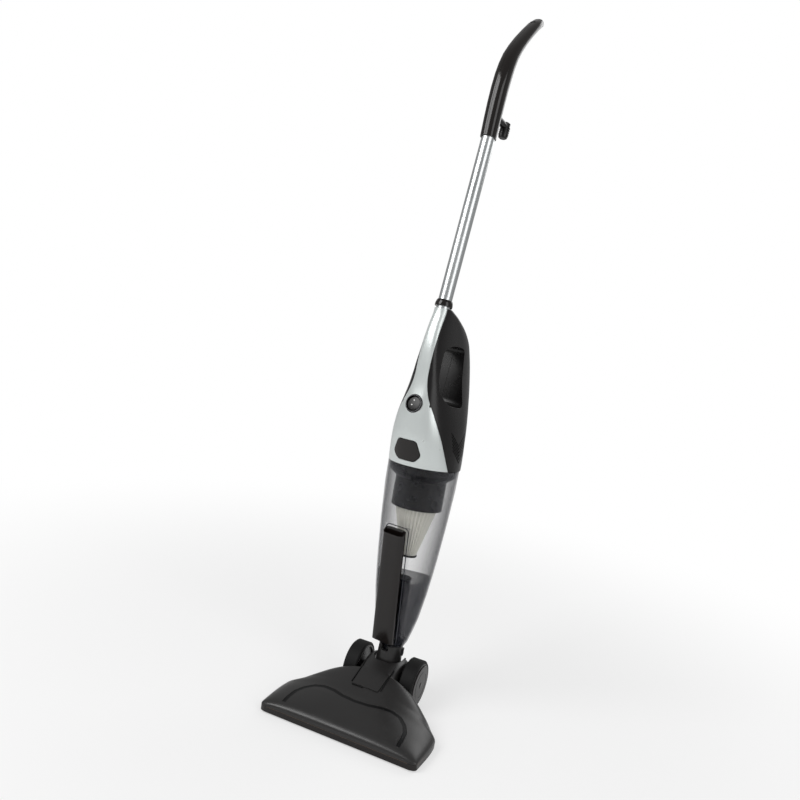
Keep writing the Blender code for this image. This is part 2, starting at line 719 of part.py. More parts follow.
def build_wheel(side, name):
    """One wheel, turned about its own Z and laid over so that Z points out of the head."""
    inside = WHEEL_INNER
    axis = frame_empty(f"wheel_frame_{name}", (0, 0, WHEEL_RADIUS), (0, 90 * side, 0))
    rim = WHEEL_RADIUS - TYRE_THICKNESS
    face = WHEEL_OUTER - CAP_THICKNESS - GAP
    hub = turned([
        (HUB_BORE, face - 0.001), (HUB_BORE, inside + 0.0005), (0.0085, inside + 0.0005),
        (0.0085, face - 0.0055), (rim - 0.0025, face - 0.0055), (rim - 0.0025, inside + 0.001),
        (rim, inside + 0.001), (rim, face), (rim - 0.0022, face), (rim - 0.0022, face - 0.001),
    ])
    add_object(f"wheel_hub_{name}", hub, BLACK, axis)
    inner = rim + GAP
    tyre = turned([
        (inner, face), (inner, inside + 0.001), (WHEEL_RADIUS - 0.0015, inside + 0.001),
        (WHEEL_RADIUS, inside + 0.0025), (WHEEL_RADIUS, face - 0.0022), (WHEEL_RADIUS - 0.0022, face),
    ])
    add_object(f"wheel_tyre_{name}", tyre, RUBBER, axis)
    reach = rim - 0.0025 - GAP
    cap = [(reach, face - 0.001 + GAP), (reach, face + 0.0005), (reach - 0.0012, WHEEL_OUTER - 0.0003),
           (reach * 0.5, WHEEL_OUTER)]
    add_object(f"wheel_cap_{name}", loft([circle(r, z) for r, z in cap]), GLOSS, axis)
    axle = rod(HUB_BORE - GAP, HEAD_TAIL_HALF - 0.0060, face - 0.0015, 12, 0.0004)
    add_object(f"axle_{name}", axle, STEEL, axis)


# ---------------------------------------------------------------- neck

def build_neck(lean, body):
    """The elbow tilts on the pivot pins; the socket swivels on the elbow's stem."""
    elbow = add_object("neck_elbow", rod(BARREL_RADIUS, -BARREL_HALF, BARREL_HALF, 16, 0.0012), DARK, lean,
                       rotation=(0, 90, 0))
    stem = loft([circle(r, z, 16) for r, z in (
        (STEM_RADIUS * 0.6, -0.001), (STEM_RADIUS, 0.004), (STEM_RADIUS, STEM_TOP))])
    boolean(elbow, add_cutter("elbow_stem", stem, lean), "UNION")
    boolean(elbow, add_cutter("elbow_bore", rod(NECK_BORE, -0.005, STEM_TOP + 0.01, 16), lean))
    front = rod(NECK_BORE, 0.0, 0.04, 16)
    boolean(elbow, add_cutter("elbow_front", front, lean, rotation=(90 - REST_LEAN, 0, 0)))
    pocket = rod(PIN_RADIUS + GAP, BARREL_HALF - 0.0034, BARREL_HALF + 0.01, 12)
    boolean(elbow, add_cutter("elbow_pin_right", pocket, lean, rotation=(0, 90, 0)))
    pocket = rod(PIN_RADIUS + GAP, BARREL_HALF - 0.0034, BARREL_HALF + 0.01, 12)
    boolean(elbow, add_cutter("elbow_pin_left", pocket, lean, rotation=(0, -90, 0)))
    lip_low = STEM_TOP + GAP
    lip_high = SPIGOT_BOTTOM - GAP
    bore = STEM_RADIUS + FIT
    throat = SPIGOT_RADIUS + FIT
    socket = add_object("neck_socket", turned([
        (bore, SOCKET_BOTTOM), (SOCKET_RADIUS - 0.001, SOCKET_BOTTOM),
        (SOCKET_RADIUS, SOCKET_BOTTOM + 0.0015),
        (SOCKET_RADIUS - 0.0008, SOCKET_BOTTOM + 0.012), (SOCKET_RADIUS - 0.0015, SOCKET_TOP - 0.0015),
        (SOCKET_RADIUS - 0.0028, SOCKET_TOP), (throat, SOCKET_TOP), (throat, lip_high),
        (NECK_BORE, lip_high), (NECK_BORE, lip_low), (bore, lip_low),
    ]), DARK, body)
    slot = block(-RELEASE_HALF - GAP, RELEASE_HALF + GAP, 0.0, 0.04, RELEASE_LOW - GAP, RELEASE_HIGH + GAP)
    boolean(socket, add_cutter("release_slot", slot, body, rotation=(0, 0, RELEASE_ANGLE)))
    notch_low, notch_high = RELEASE_HIGH - 0.004, SOCKET_TOP + 0.01
    corners = [
        (-NOTCH_HALF, notch_low), (NOTCH_HALF, notch_low), (NOTCH_HALF, notch_high), (-NOTCH_HALF, notch_high)
    ]
    notch = prism(rounded(corners, 0.003), -0.03, 0.0, "Y")
    boolean(socket, add_cutter("front_notch", notch, body))
    depth_in = SPIGOT_RADIUS + FIT + 0.0018
    depth_out = SOCKET_RADIUS + 0.0012
    ribs = [(depth_in, RELEASE_LOW), (depth_in, RELEASE_HIGH), (depth_out - 0.0004, RELEASE_HIGH)]
    count = 5
    pitch = (RELEASE_HIGH - RELEASE_LOW - 0.0010) / count
    for k in range(count):
        top = RELEASE_HIGH - 0.0005 - k * pitch
        ribs += [(depth_out, top), (depth_out, top - pitch * 0.5), (depth_out - 0.0005, top - pitch * 0.6),
                 (depth_out - 0.0005, top - pitch * 0.9)]
    ribs.append((depth_out - 0.0005, RELEASE_LOW))
    add_object("neck_release_button", prism(ribs, -RELEASE_HALF, RELEASE_HALF, "X"), BLACK, body,
               rotation=(0, 0, RELEASE_ANGLE))


# ---------------------------------------------------------------- dust cup


def cup_radius(z):
    return between(CUP_CURVE, z)


def tool_back(z):
    return TOOL_BACK_LOW + (z - TOOL_BOTTOM) * TOOL_BACK_SLOPE


def tool_front(z):
    return TOOL_FRONT_LOW + (z - TOOL_BOTTOM) * TOOL_FRONT_SLOPE


def cup_ring(radius, z, inset):
    """A cup section; its front is flattened where the crevice tool lies against it."""
    points = circle(radius, z, CUP_STEPS)
    if z <= TOOL_TOP + 0.004:
        flat = tool_back(z) - TOOL_REST - inset
        points = [Vector((p.x, max(p.y, -flat), p.z)) for p in points]
    return points


def dust_cup(body):
    heights = [row[0] for row in CUP_CURVE[1:-1]]
    heights += [TOOL_BOTTOM - 0.002, 0.170]
    heights += [TOOL_TOP + 0.0038, TOOL_TOP + 0.0052, CUP_TOP]
    heights = sorted(set(heights))
    outer = [circle(SPIGOT_RADIUS, z, CUP_STEPS) for z in (SPIGOT_BOTTOM, SOCKET_TOP + GAP)]
    outer += [cup_ring(cup_radius(z), z, 0.0) for z in [SOCKET_TOP + 0.0005] + heights]
    inside = [z for z in reversed(heights) if z not in (0.080, 0.310)]
    inner = [cup_ring(cup_radius(z) - CUP_WALL, z, CUP_WALL) for z in inside]
    floor = SOCKET_TOP + 0.0032
    throat = NECK_BORE + 0.002
    inner += [circle(cup_radius(floor) - CUP_WALL, floor, CUP_STEPS)]
    inner += [circle(throat, z, CUP_STEPS) for z in (floor, SPIGOT_BOTTOM)]
    return add_object("dust_cup", loft(outer + inner, closed=True), CLEAR, body)


def inlet_tube(body):
    """The riser in the middle of the cup that lets dust in above the floor of the cup."""
    low = SOCKET_TOP + 0.0032 + GAP
    foot = cup_radius(low + 0.0015) - CUP_WALL - 0.0015
    profile = [
        (NECK_BORE + 0.003, low), (foot, low), (foot, low + 0.0012), (INLET_RADIUS, low + 0.0030),
        (INLET_RADIUS - 0.0006, INLET_TOP), (INLET_RADIUS - 0.0022, INLET_TOP),
        (INLET_RADIUS - 0.0016, low + 0.004),
        (NECK_BORE + 0.003, low + 0.0025),
    ]
    add_object("inlet_tube", turned(profile, 16), CLEAR, body)
    flap = rod(INLET_RADIUS - 0.0004, INLET_TOP + GAP, INLET_TOP + 0.0014, 16)
    add_object("inlet_flap", flap, RUBBER, body)


def filter_holder(body):
    top = CUP_TOP - 0.0008
    lip = FILTER_TOP_RADIUS - FILTER_TAPER + 0.0004
    rim = CUP_RADIUS - CUP_WALL - 0.0015
    profile = [
        (lip, HOLDER_BOTTOM), (HOLDER_RADIUS, HOLDER_BOTTOM), (HOLDER_RADIUS, top - 0.021),
        (rim - 0.0015, top - 0.012), (rim, top - 0.009), (rim, top), (rim - 0.002, top),
        (rim - 0.002, top - 0.008), (HOLDER_RADIUS - 0.002, top - 0.019),
        (HOLDER_RADIUS - 0.002, HOLDER_BOTTOM + 0.0025), (lip, HOLDER_BOTTOM + 0.0025),
    ]
    add_object("filter_holder", turned(profile), BLACK, body)
    seal = [(rim - 0.005, top + GAP), (rim, top + GAP), (rim, CUP_TOP + GAP), (rim - 0.005, CUP_TOP + GAP)]
    add_object("cup_seal", turned(seal), RUBBER, body)


def pleated_filter(body):
    top = HOLDER_BOTTOM + FILTER_LIFT
    low = HOLDER_BOTTOM - FILTER_LENGTH
    span = top - low

    def star(radius, z):
        turn = math.pi / PLEATS
        depth = PLEAT_DEPTH * radius / FILTER_TOP_RADIUS
        points = []
        for i in range(2 * PLEATS):
            reach = radius - depth * (i % 2)
            points.append(Vector((reach * math.cos(i * turn), reach * math.sin(i * turn), z)))
        return points

    wall = 0.0012
    outer_top = FILTER_TOP_RADIUS - FILTER_TAPER
    growth = outer_top - FILTER_END_RADIUS
    outer = [star(FILTER_END_RADIUS + growth * k / 4, low + span * k / 4) for k in range(5)]
    inner = [star(FILTER_END_RADIUS - wall, low), star(outer_top - wall, top)]
    add_object("pleated_filter", loft(outer + inner[::-1], closed=True), PAPER, body, sharp=20)
    disc = rod(FILTER_END_RADIUS + 0.0012, low - 0.0030, low - GAP, 18, 0.0006)
    add_object("filter_end_disc", disc, BLACK, body)
    cap = turned([
        (0.012, top + GAP), (outer_top + 0.0008, top + GAP), (outer_top + 0.0008, top + 0.0018),
        (0.012, top + 0.0018)
    ], COARSE)
    add_object("filter_collar", cap, BLACK, body)


def crevice_tool(body):
    """A flat tapering nozzle stored in front of the cup, open at both ends, with its mouth cut at a slant."""
    def ring(z, inset, drop=0.0):
        front, back = -tool_front(z) + inset, -tool_back(z) - inset
        middle, half = (front + back) / 2, (back - front) / 2
        out = []
        for i in range(16):
            turn = 2 * math.pi * (i + 0.5) / 16
            x = (TOOL_HALF - inset) * power(math.cos(turn), 0.45)
            y = middle + half * power(math.sin(turn), 0.6)
            slant = drop * (back - y) / (back - front)
            out.append(Vector((x, y, z - slant)))
        return out

    stations = [TOOL_BOTTOM, TOOL_BOTTOM + 0.004, 0.120, 0.185, TOOL_TOP - TOOL_MOUTH_DROP - 0.004]
    outer = [ring(z, 0.0) for z in stations] + [ring(TOOL_TOP, 0.0, TOOL_MOUTH_DROP)]
    inner = [ring(z, TOOL_WALL) for z in stations] + [ring(TOOL_TOP, TOOL_WALL, TOOL_MOUTH_DROP)]
    tool = add_object("crevice_tool", loft(outer + inner[::-1], closed=True), GLOSS, body)
    return tool


# ---------------------------------------------------------------- hand unit

# Sections of the hand unit in metres: height, front, back, half width, place of the widest point, squareness
UNIT_SECTIONS = [
    (CUP_TOP + UNIT_LENGTH * share, *(CUP_RADIUS * value for value in values), square)
    for share, *values, square in UNIT_SHAPE
]
UNIT_SECTIONS[0] = (CUP_TOP + 3 * GAP, *UNIT_SECTIONS[0][1:])
NOZZLE_REAR = TUBE_BACK + NOZZLE_RADIUS + NOZZLE_HEEL
UNIT_SECTIONS.append(
    (UNIT_TOP, TUBE_BACK - NOZZLE_RADIUS, NOZZLE_REAR, NOZZLE_RADIUS, TUBE_BACK, NOZZLE_SQUARENESS)
)
COVER_EDGE = [(CUP_TOP + UNIT_LENGTH * share, CUP_RADIUS * half) for share, half in COVER_SHAPE]
WINDOW_CORNERS = [(CUP_RADIUS * back, CUP_TOP + UNIT_LENGTH * share) for back, share in WINDOW_SHAPE]
GRIP_SECTIONS = [
    (TUBE_VISIBLE + GRIP_LENGTH * share, *(TUBE_RADIUS * value for value in values))
    for share, *values in GRIP_SHAPE
]


def unit_ring(section, inset, steps=20):
    z, front, back, half, widest, front_power = section
    front, back, half = front + inset, back - inset, half - inset
    out = []
    for i in range(steps):
        turn = 2 * math.pi * i / steps
        ahead, across = math.cos(turn), math.sin(turn)
        exponent = 2 / (front_power if ahead > 0 else BACK_SQUARENESS)
        reach = (front if ahead > 0 else back) - widest
        out.append(Vector((half * power(across, exponent), widest + reach * abs(ahead) ** exponent, z)))
    return out


def section_at(z):
    rows = [[(row[0], row[k]) for row in UNIT_SECTIONS] for k in range(1, 6)]
    return (z, *(between(table, z) for table in rows))


def unit_loft(inset=0.0, low=None, high=None):
    places = [row[0] for row in UNIT_SECTIONS]
    low = places[0] if low is None else low
    high = places[-1] if high is None else high
    inside = [z for z in places if places[0] < z < high - 0.002][::2 if inset > 0 else 1]
    rings = [unit_ring((low, *section_at(places[0])[1:]), inset)]
    rings += [unit_ring(section_at(z), inset) for z in inside]
    rings += [unit_ring((high, *section_at(high)[1:]), inset)]
    return loft(rings)


def window_prism(grow):
    outline = rounded(WINDOW_CORNERS, 0.008, 1)
    middle = sum((Vector(point) for point in outline), Vector((0.0, 0.0))) / len(outline)
    if grow:
        grown = []
        count = len(outline)
        for i in range(count):
            ahead = Vector(outline[(i + 1) % count]) - Vector(outline[i - 1])
            side = Vector((-ahead.y, ahead.x)).normalized()
            here = Vector(outline[i])
            side = side if side.dot(here - middle) > 0 else -side
            grown.append(tuple(here + side * grow))
        outline = grown
    return prism(outline, -2 * CUP_RADIUS, 2 * CUP_RADIUS, "X")


def cover_prism(grow):
    right = [(between(COVER_EDGE, z) + grow, z) for z in cover_heights()]
    outline = right + [(-x, z) for x, z in reversed(right)]
    return prism(outline, -2 * CUP_RADIUS, grow, "Y")


def cover_depth(grow):
    """The cover's reach backwards seen from the side: deep below the hand opening, a thin strip beside it."""
    strip = [(section_at(z)[1] + STRIP_DEPTH + grow, z) for z in cover_heights() if z > STRIP_START + 0.004]
    ahead, low, high = -2 * CUP_RADIUS, CUP_TOP - CUP_RADIUS, UNIT_TOP + CUP_RADIUS
    outline = [(ahead, low), (grow, low), (grow, STRIP_START + grow), *strip]
    outline += [(strip[-1][0], high), (ahead, high)]
    return prism(outline, ahead, -ahead, "X")


def cover_heights():
    first, last = COVER_EDGE[0][0], COVER_EDGE[-1][0]
    return [first + (last - first) * i / 30 for i in range(31)]


def button_outline(grow):
    half, low, high = BUTTON_HALF + grow, BUTTON_BOTTOM - grow, BUTTON_TOP + grow
    wide = low + (high - low) * 0.34
    corners = [
        (-half * 0.62, low), (half * 0.62, low), (half, wide),
        (half * 0.66, high), (-half * 0.66, high), (-half, wide),
    ]
    return rounded(corners, 0.005, 3)


def hand_shells(body, tube_frame):
    """The silver front cover and the two black rear shells, cut from one outer form."""
    window = add_cutter("hand_window", window_prism(0.0), body)
    ring_of_window = add_cutter("window_walls", window_prism(SHELL_WALL), body)
    cavity = add_cutter("unit_cavity", unit_loft(SHELL_WALL, UNIT_SECTIONS[0][0] - 0.01, CAVITY_TOP), body)
    boolean(cavity, ring_of_window)
    tube_bore = rod(TUBE_RADIUS + GAP, -TUBE_INSERT - 0.0006, 0.03, 24)
    bore = add_cutter("unit_tube_bore", tube_bore, tube_frame)
    front = add_cutter("cover_region", cover_prism(0.0), body)
    boolean(front, add_cutter("cover_depth", cover_depth(0.0), body), "INTERSECT")
    front_grown = add_cutter("cover_region_grown", cover_prism(GAP), body)
    boolean(front_grown, add_cutter("cover_depth_grown", cover_depth(GAP), body), "INTERSECT")
    switch = add_cutter("switch_hole", rod(SWITCH_RADIUS + GAP, -0.012, 0.02, 24), SWITCH_FRAME)
    button_shape = prism(button_outline(2 * GAP), -2 * CUP_RADIUS, -CUP_RADIUS / 2, "Y")
    button = add_cutter("button_hole", button_shape, body)
    cover = add_object("front_cover", unit_loft(), SILVER, body)
    for cutter in (cavity, window, bore, switch, button):
        boolean(cover, cutter)
    boolean(cover, front, "INTERSECT")
    for side, name in ((-1, "left"), (1, "right")):
        shell = add_object(f"rear_shell_{name}", unit_loft(), BLACK, body)
        away = sorted((-side * 2 * CUP_RADIUS, side * GAP / 2))
        side_block = block(*away, -2 * CUP_RADIUS, 2 * CUP_RADIUS, 0.0, 2 * UNIT_TOP)
        half = add_cutter(f"half_{name}", side_block, body)
        vents = add_cutter(f"vents_{name}", vent_slots(side), body)
        for cutter in (cavity, window, bore, front_grown, half, vents):
            boolean(shell, cutter)
        boolean(shell, GLAND_HOLE)


def vent_slots(side):
    """Nested V slots through the side of the rear shell."""
    joined = bmesh.new()
    for k in range(VENT_COUNT):
        low = VENT_LOW + k * VENT_PITCH
        middle = VENT_BACK - k * VENT_SHIFT
        front, back, high = middle - VENT_HALF, middle + VENT_HALF, low + VENT_RISE
        outline = [
            (front, high), (middle, low), (back, high),
            (back, high + VENT_THICKNESS), (middle, low + VENT_THICKNESS * 1.2),
            (front, high + VENT_THICKNESS),
        ]
        reach = sorted((side * CUP_RADIUS / 2, side * 2 * CUP_RADIUS))
        part = prism(outline, reach[0], reach[1], "X")
        spare = bpy.data.meshes.new("vent")
        part.to_mesh(spare)
        part.free()
        joined.from_mesh(spare)
        bpy.data.meshes.remove(spare)
    return joined


def hand_controls(body):
    tube = turned([
        (ROCKER_RADIUS + 0.0010, -0.0070), (SWITCH_RADIUS, -0.0070), (SWITCH_RADIUS, 0.0008),
        (SWITCH_RADIUS - 0.0006, 0.0014),
        (ROCKER_RADIUS + 0.0014, 0.0014), (ROCKER_RADIUS + 0.0010, 0.0010),
    ])
    add_object("switch_bezel", tube, GLOSS, SWITCH_FRAME)
    rocker = loft([circle(r, z, 24) for r, z in (
        (ROCKER_RADIUS - 0.0006, -0.0045), (ROCKER_RADIUS, -0.0035), (ROCKER_RADIUS, 0.0),
        (ROCKER_RADIUS - 0.0012, 0.0012), (ROCKER_RADIUS * 0.5, 0.0017))])
    sunk = (0, 0, -0.0015)
    add_object("rocker_switch", rocker, BLACK, SWITCH_FRAME, location=sunk, rotation=(-ROCKER_TILT, 0, 0))
    button = add_object("cup_release_button", unit_loft(-0.0010), GLOSS, body)
    outline = prism(button_outline(0.0), -2 * CUP_RADIUS, BUTTON_INNER - CUP_RADIUS, "Y")
    boolean(button, add_cutter("button_shape", outline, body), "INTERSECT")


def cord_gland(body):
    profile = [
        (GLAND_BORE, -0.0080), (GLAND_RADIUS, -0.0080), (GLAND_RADIUS, 0.0030),
        (GLAND_RADIUS - 0.0008, 0.0100), (GLAND_BORE, 0.0100),
    ]
    place = (0, section_at(GLAND_Z)[2], GLAND_Z)
    add_object("cord_gland", turned(profile, 20), RUBBER, body, location=place, rotation=(-90, 0, 0))


def motor(body):
    fan_low = MOTOR_BOTTOM - 0.034
    top = MOTOR_BOTTOM + MOTOR_LENGTH
    shroud = [
        (0.0460, fan_low - 0.0100), (0.0485, fan_low - 0.0100), (0.0485, fan_low - 0.0060),
        (FAN_RADIUS + 0.0060, fan_low - 0.0040),
        (FAN_RADIUS + 0.0060, MOTOR_BOTTOM - 0.0060), (MOTOR_RADIUS, MOTOR_BOTTOM - GAP),
        (0.0180, MOTOR_BOTTOM - GAP),
        (0.0180, MOTOR_BOTTOM - 0.0018), (MOTOR_RADIUS - 0.0012, MOTOR_BOTTOM - 0.0018),
        (FAN_RADIUS + 0.0042, MOTOR_BOTTOM - 0.0070), (FAN_RADIUS + 0.0042, fan_low - 0.0050),
        (0.0460, fan_low - 0.0075),
    ]
    add_object("fan_shroud", turned(shroud, COARSE), BLACK, body)
    can = [
        (0.0060, MOTOR_BOTTOM), (MOTOR_RADIUS, MOTOR_BOTTOM), (MOTOR_RADIUS, top), (0.0060, top),
        (0.0060, top - MOTOR_WALL), (MOTOR_RADIUS - MOTOR_WALL, top - MOTOR_WALL),
        (MOTOR_RADIUS - MOTOR_WALL, MOTOR_BOTTOM + MOTOR_WALL), (0.0060, MOTOR_BOTTOM + MOTOR_WALL),
    ]
    add_object("motor_can", turned(can, COARSE), STEEL, body)
    mount = [
        (MOTOR_RADIUS + GAP, top - 0.010), (MOTOR_RADIUS + 0.0030, top - 0.010),
        (MOTOR_RADIUS + 0.0030, top - 0.001),
        (MOTOR_RADIUS + GAP, top - 0.001),
    ]
    add_object("motor_mount_ring", turned(mount, COARSE), RUBBER, body)
    core_low = MOTOR_BOTTOM + (MOTOR_LENGTH - ARMATURE_LENGTH) / 2
    hole = SHAFT_RADIUS + GAP
    core = [
        (hole, core_low), (ARMATURE_RADIUS, core_low), (ARMATURE_RADIUS, core_low + ARMATURE_LENGTH),
        (hole, core_low + ARMATURE_LENGTH),
    ]
    add_object("motor_armature", turned(core, COARSE), COPPER, body)
    add_object("motor_shaft", rod(SHAFT_RADIUS, fan_low - 0.0030, top + 0.0020, 20), STEEL, body)
    steps = FAN_VANES * 3

    def wheel_ring(radius, z):
        return circle(radius, z, steps)

    def vane_ring(z):
        ring = wheel_ring(FAN_RADIUS - 0.0010, z)
        return [p if i % 3 == 0 else Vector((p.x * 0.35, p.y * 0.35, z)) for i, p in enumerate(ring)]

    plate = fan_low + 0.0015
    fan = [
        wheel_ring(hole, fan_low), wheel_ring(FAN_RADIUS, fan_low),
        wheel_ring(FAN_RADIUS, plate), vane_ring(plate),
        vane_ring(fan_low + FAN_HEIGHT), wheel_ring(hole, fan_low + FAN_HEIGHT),
    ]
    add_object("fan_impeller", loft(fan, closed=True), METAL, body, sharp=25)


# ---------------------------------------------------------------- tube and grip

def grip_loft(inset, first, last):
    rows = GRIP_SECTIONS
    rings = []
    for k in range(first, last + 1):
        t, s, depth, half = rows[k]
        before, after = rows[max(k - 1, 0)], rows[min(k + 1, len(rows) - 1)]
        run = Vector((0.0, after[1] - before[1], after[0] - before[0])).normalized()
        if k == 0:
            run = Vector((0, 0, 1))
        back = Vector((0.0, run.z, -run.y))
        rings.append([
            Vector((0, s, t))
            + Vector((1, 0, 0)) * (half - inset) * power(math.sin(2 * math.pi * (i + 0.5) / 20), 0.85)
            - back * (depth - inset) * power(math.cos(2 * math.pi * (i + 0.5) / 20), 0.85)
            for i in range(20)
        ])
    return loft(rings)


def tube_and_grip(tube_frame):
    tube = turned([
        (TUBE_RADIUS - TUBE_WALL, -TUBE_INSERT), (TUBE_RADIUS, -TUBE_INSERT),
        (TUBE_RADIUS, TUBE_VISIBLE + GRIP_INSERT),
        (TUBE_RADIUS - TUBE_WALL, TUBE_VISIBLE + GRIP_INSERT),
    ], 24)
    add_object("extension_tube", tube, METAL, tube_frame)
    low = -0.0028
    bore = TUBE_RADIUS + GAP
    collar = turned([
        (bore, low), (COLLAR_RADIUS - 0.0002, low), (COLLAR_RADIUS, low + 0.0030),
        (COLLAR_RADIUS - 0.0008, low + 0.0070),
        (COLLAR_RADIUS - 0.0020, low + COLLAR_HEIGHT), (bore, low + COLLAR_HEIGHT),
    ])
    add_object("collar_ring", collar, GLOSS, tube_frame)
    hollow = add_cutter("grip_cavity", grip_loft(GRIP_WALL, 2, len(GRIP_SECTIONS) - 3), tube_frame)
    tube_room = rod(bore, TUBE_VISIBLE - GRIP_INSERT, TUBE_VISIBLE + GRIP_INSERT + 0.001, 24)
    grip_bore = add_cutter("grip_bore", tube_room, tube_frame)
    pin_hole = rod(HOOK_PIN + GAP, 0.0, 0.03, 12)
    pin_cut = add_cutter("grip_pin_hole", pin_hole, tube_frame, location=(0, 0, HOOK_T), rotation=(-90, 0, 0))
    for side, name in ((-1, "left"), (1, "right")):
        half = add_object(f"top_grip_{name}", grip_loft(0.0, 0, len(GRIP_SECTIONS) - 1), GLOSS, tube_frame)
        away = sorted((-side * 2 * CUP_RADIUS, side * GAP / 2))
        side_block = block(*away, -GRIP_LENGTH, GRIP_LENGTH, 0.0, TUBE_VISIBLE + 2 * GRIP_LENGTH)
        cut = add_cutter(f"grip_half_{name}", side_block, tube_frame)
        for cutter in (hollow, grip_bore, pin_cut, cut):
            boolean(half, cutter)


def cord_hook(tube_frame):
    """A stem behind the grip with a down-turned knob, turning about the stem's pin."""
    frame = frame_empty("hook_frame", (0, 0, HOOK_T), (-90, 0, 0), tube_frame)
    stem = rod(HOOK_STEM, HOOK_START, HOOK_REACH, 16, 0.0008)
    hook = add_object("cord_hook", stem, BLACK, frame)
    knob = [
        (HOOK_KNOB - 0.003, -0.0070), (HOOK_KNOB - 0.0008, -0.0055), (HOOK_KNOB - 0.001, 0.004),
        (HOOK_KNOB, HOOK_DROP - 0.006), (HOOK_KNOB - 0.001, HOOK_DROP - 0.0015),
        (HOOK_KNOB - 0.003, HOOK_DROP),
    ]
    bead = loft([circle(r, z, 16) for r, z in knob])
    cutter = add_cutter("hook_knob", bead, frame, location=(0, 0, HOOK_REACH - 0.004), rotation=(-90, 0, 0))
    boolean(hook, cutter, "UNION")
    hole = rod(HOOK_PIN + GAP, 0.0, HOOK_START + 0.014, 12)
    boolean(hook, add_cutter("hook_pin_hole", hole, frame))
    pin = rod(HOOK_PIN, 0.0010, HOOK_START + 0.0135, 12, 0.0004)
    add_object("hook_pin", pin, STEEL, frame)


# ---------------------------------------------------------------- assembly

LEAN_FRAME = frame_empty("lean_frame", (0, PIVOT_Y, PIVOT_Z), (-REST_LEAN, 0, 0))
BODY_FRAME = frame_empty("body_frame", (0, 0, 0), (0, 0, REST_SWIVEL), LEAN_FRAME)
TUBE_FRAME = frame_empty("tube_frame", (0, TUBE_BACK, TUBE_FOOT), (-TUBE_LEAN, 0, 0), BODY_FRAME)
SWITCH_PLACE = (0, section_at(SWITCH_Z)[1] + 0.0002, SWITCH_Z)
SWITCH_FRAME = frame_empty("switch_frame", SWITCH_PLACE, (SWITCH_LEAN, 0, 0), BODY_FRAME)
GLAND_HOLE = add_cutter(
    "gland_hole", rod(GLAND_RADIUS + GAP, -0.02, 0.02, 28), BODY_FRAME,
    location=(0, section_at(GLAND_Z)[2], GLAND_Z),
    rotation=(-90, 0, 0),
)

build_head()
build_wheel(-1, "left")
build_wheel(1, "right")
build_neck(LEAN_FRAME, BODY_FRAME)
dust_cup(BODY_FRAME)
inlet_tube(BODY_FRAME)
filter_holder(BODY_FRAME)
pleated_filter(BODY_FRAME)
crevice_tool(BODY_FRAME)
hand_shells(BODY_FRAME, TUBE_FRAME)
hand_controls(BODY_FRAME)
cord_gland(BODY_FRAME)
motor(BODY_FRAME)
tube_and_grip(TUBE_FRAME)
cord_hook(TUBE_FRAME)
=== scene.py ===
"""Looks of the upright stick vacuum cleaner: smooth pieces in the CAD frame, materials, light and camera."""

import json
import math

import bmesh
import bpy
from mathutils import Matrix, Vector

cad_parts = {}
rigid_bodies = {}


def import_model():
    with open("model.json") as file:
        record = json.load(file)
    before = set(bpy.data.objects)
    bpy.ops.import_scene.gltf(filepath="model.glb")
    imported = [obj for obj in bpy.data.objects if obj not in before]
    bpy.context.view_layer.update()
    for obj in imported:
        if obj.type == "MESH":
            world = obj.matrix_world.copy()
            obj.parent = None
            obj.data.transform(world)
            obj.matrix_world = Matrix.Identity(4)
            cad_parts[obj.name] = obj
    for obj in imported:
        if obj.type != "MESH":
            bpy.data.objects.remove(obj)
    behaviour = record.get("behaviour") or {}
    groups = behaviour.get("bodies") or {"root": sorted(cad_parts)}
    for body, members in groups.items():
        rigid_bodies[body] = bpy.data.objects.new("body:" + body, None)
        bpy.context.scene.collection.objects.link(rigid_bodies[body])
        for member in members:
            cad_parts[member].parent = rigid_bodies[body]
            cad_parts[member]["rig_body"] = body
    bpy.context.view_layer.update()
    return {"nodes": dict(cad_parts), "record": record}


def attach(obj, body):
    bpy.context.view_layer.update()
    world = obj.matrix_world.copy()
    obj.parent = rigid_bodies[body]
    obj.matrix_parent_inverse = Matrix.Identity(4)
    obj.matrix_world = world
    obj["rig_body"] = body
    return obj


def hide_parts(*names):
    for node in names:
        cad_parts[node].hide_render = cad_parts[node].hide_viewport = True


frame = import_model()
NODES = frame["nodes"]
SLOT_OF = {part["node"]: part["material_slot"] for part in frame["record"]["subparts"]}
SIDES = ((-1, "left"), (1, "right"))
MADE = {}
CUTTERS = []
DETAILS = []
FRAMES = []

GAP = 0.0003
SHARP_ANGLE = 35

# Floor head
HEAD_WIDTH = 0.254
HEAD_FRONT = -0.1635
HEAD_SIDE_REAR = -0.092
HEAD_REAR = 0.022
HEAD_TAIL_HALF = 0.0345
GROUND_CLEARANCE = 0.0025
SEAM = 0.0110
COVER_WALL = 0.0040
COVER_CROWN = 0.066
COVER_TAIL = 0.058
COVER_END_HEIGHT = 0.021
COVER_NOSE_HEIGHT = 0.019
SLOT_HALF = 0.110
SLOT_DEPTH = 0.030
SLOT_ROOF = 0.0022
SLOT_CENTRE = -0.128
BRUSH_COLUMNS = 120
BRUSH_SHARE = 0.50
BRUSH_OUT = 0.0016
BRUSH_IN = 0.0004
BRUSH_HALF = 0.109
BRUSH_WIDTH = 0.004
BRUSH_BACK = 0.0022
BRUSH_INSET = 0.0083
BAND_WIDTH = 0.0055
BAND_DEPTH = 0.0016
BAND_THICKNESS = 0.0009
PANEL_HALF = 0.024
PANEL_FRONT = -0.076
PANEL_REAR = -0.020
PANEL_THICKNESS = 0.0014
PANEL_LIFT = 0.0004
PANEL_TAPER = 0.0025
RECESS_RADIUS = 0.0235
SCREW_SIDE = 0.0310
SCREW_REAR = -0.0260
SCREW_SHANK = 0.0014
SCREW_HEAD = 0.0028
SCREW_SINK = GROUND_CLEARANCE + 0.0024
CRADLE_WALL = 0.0020
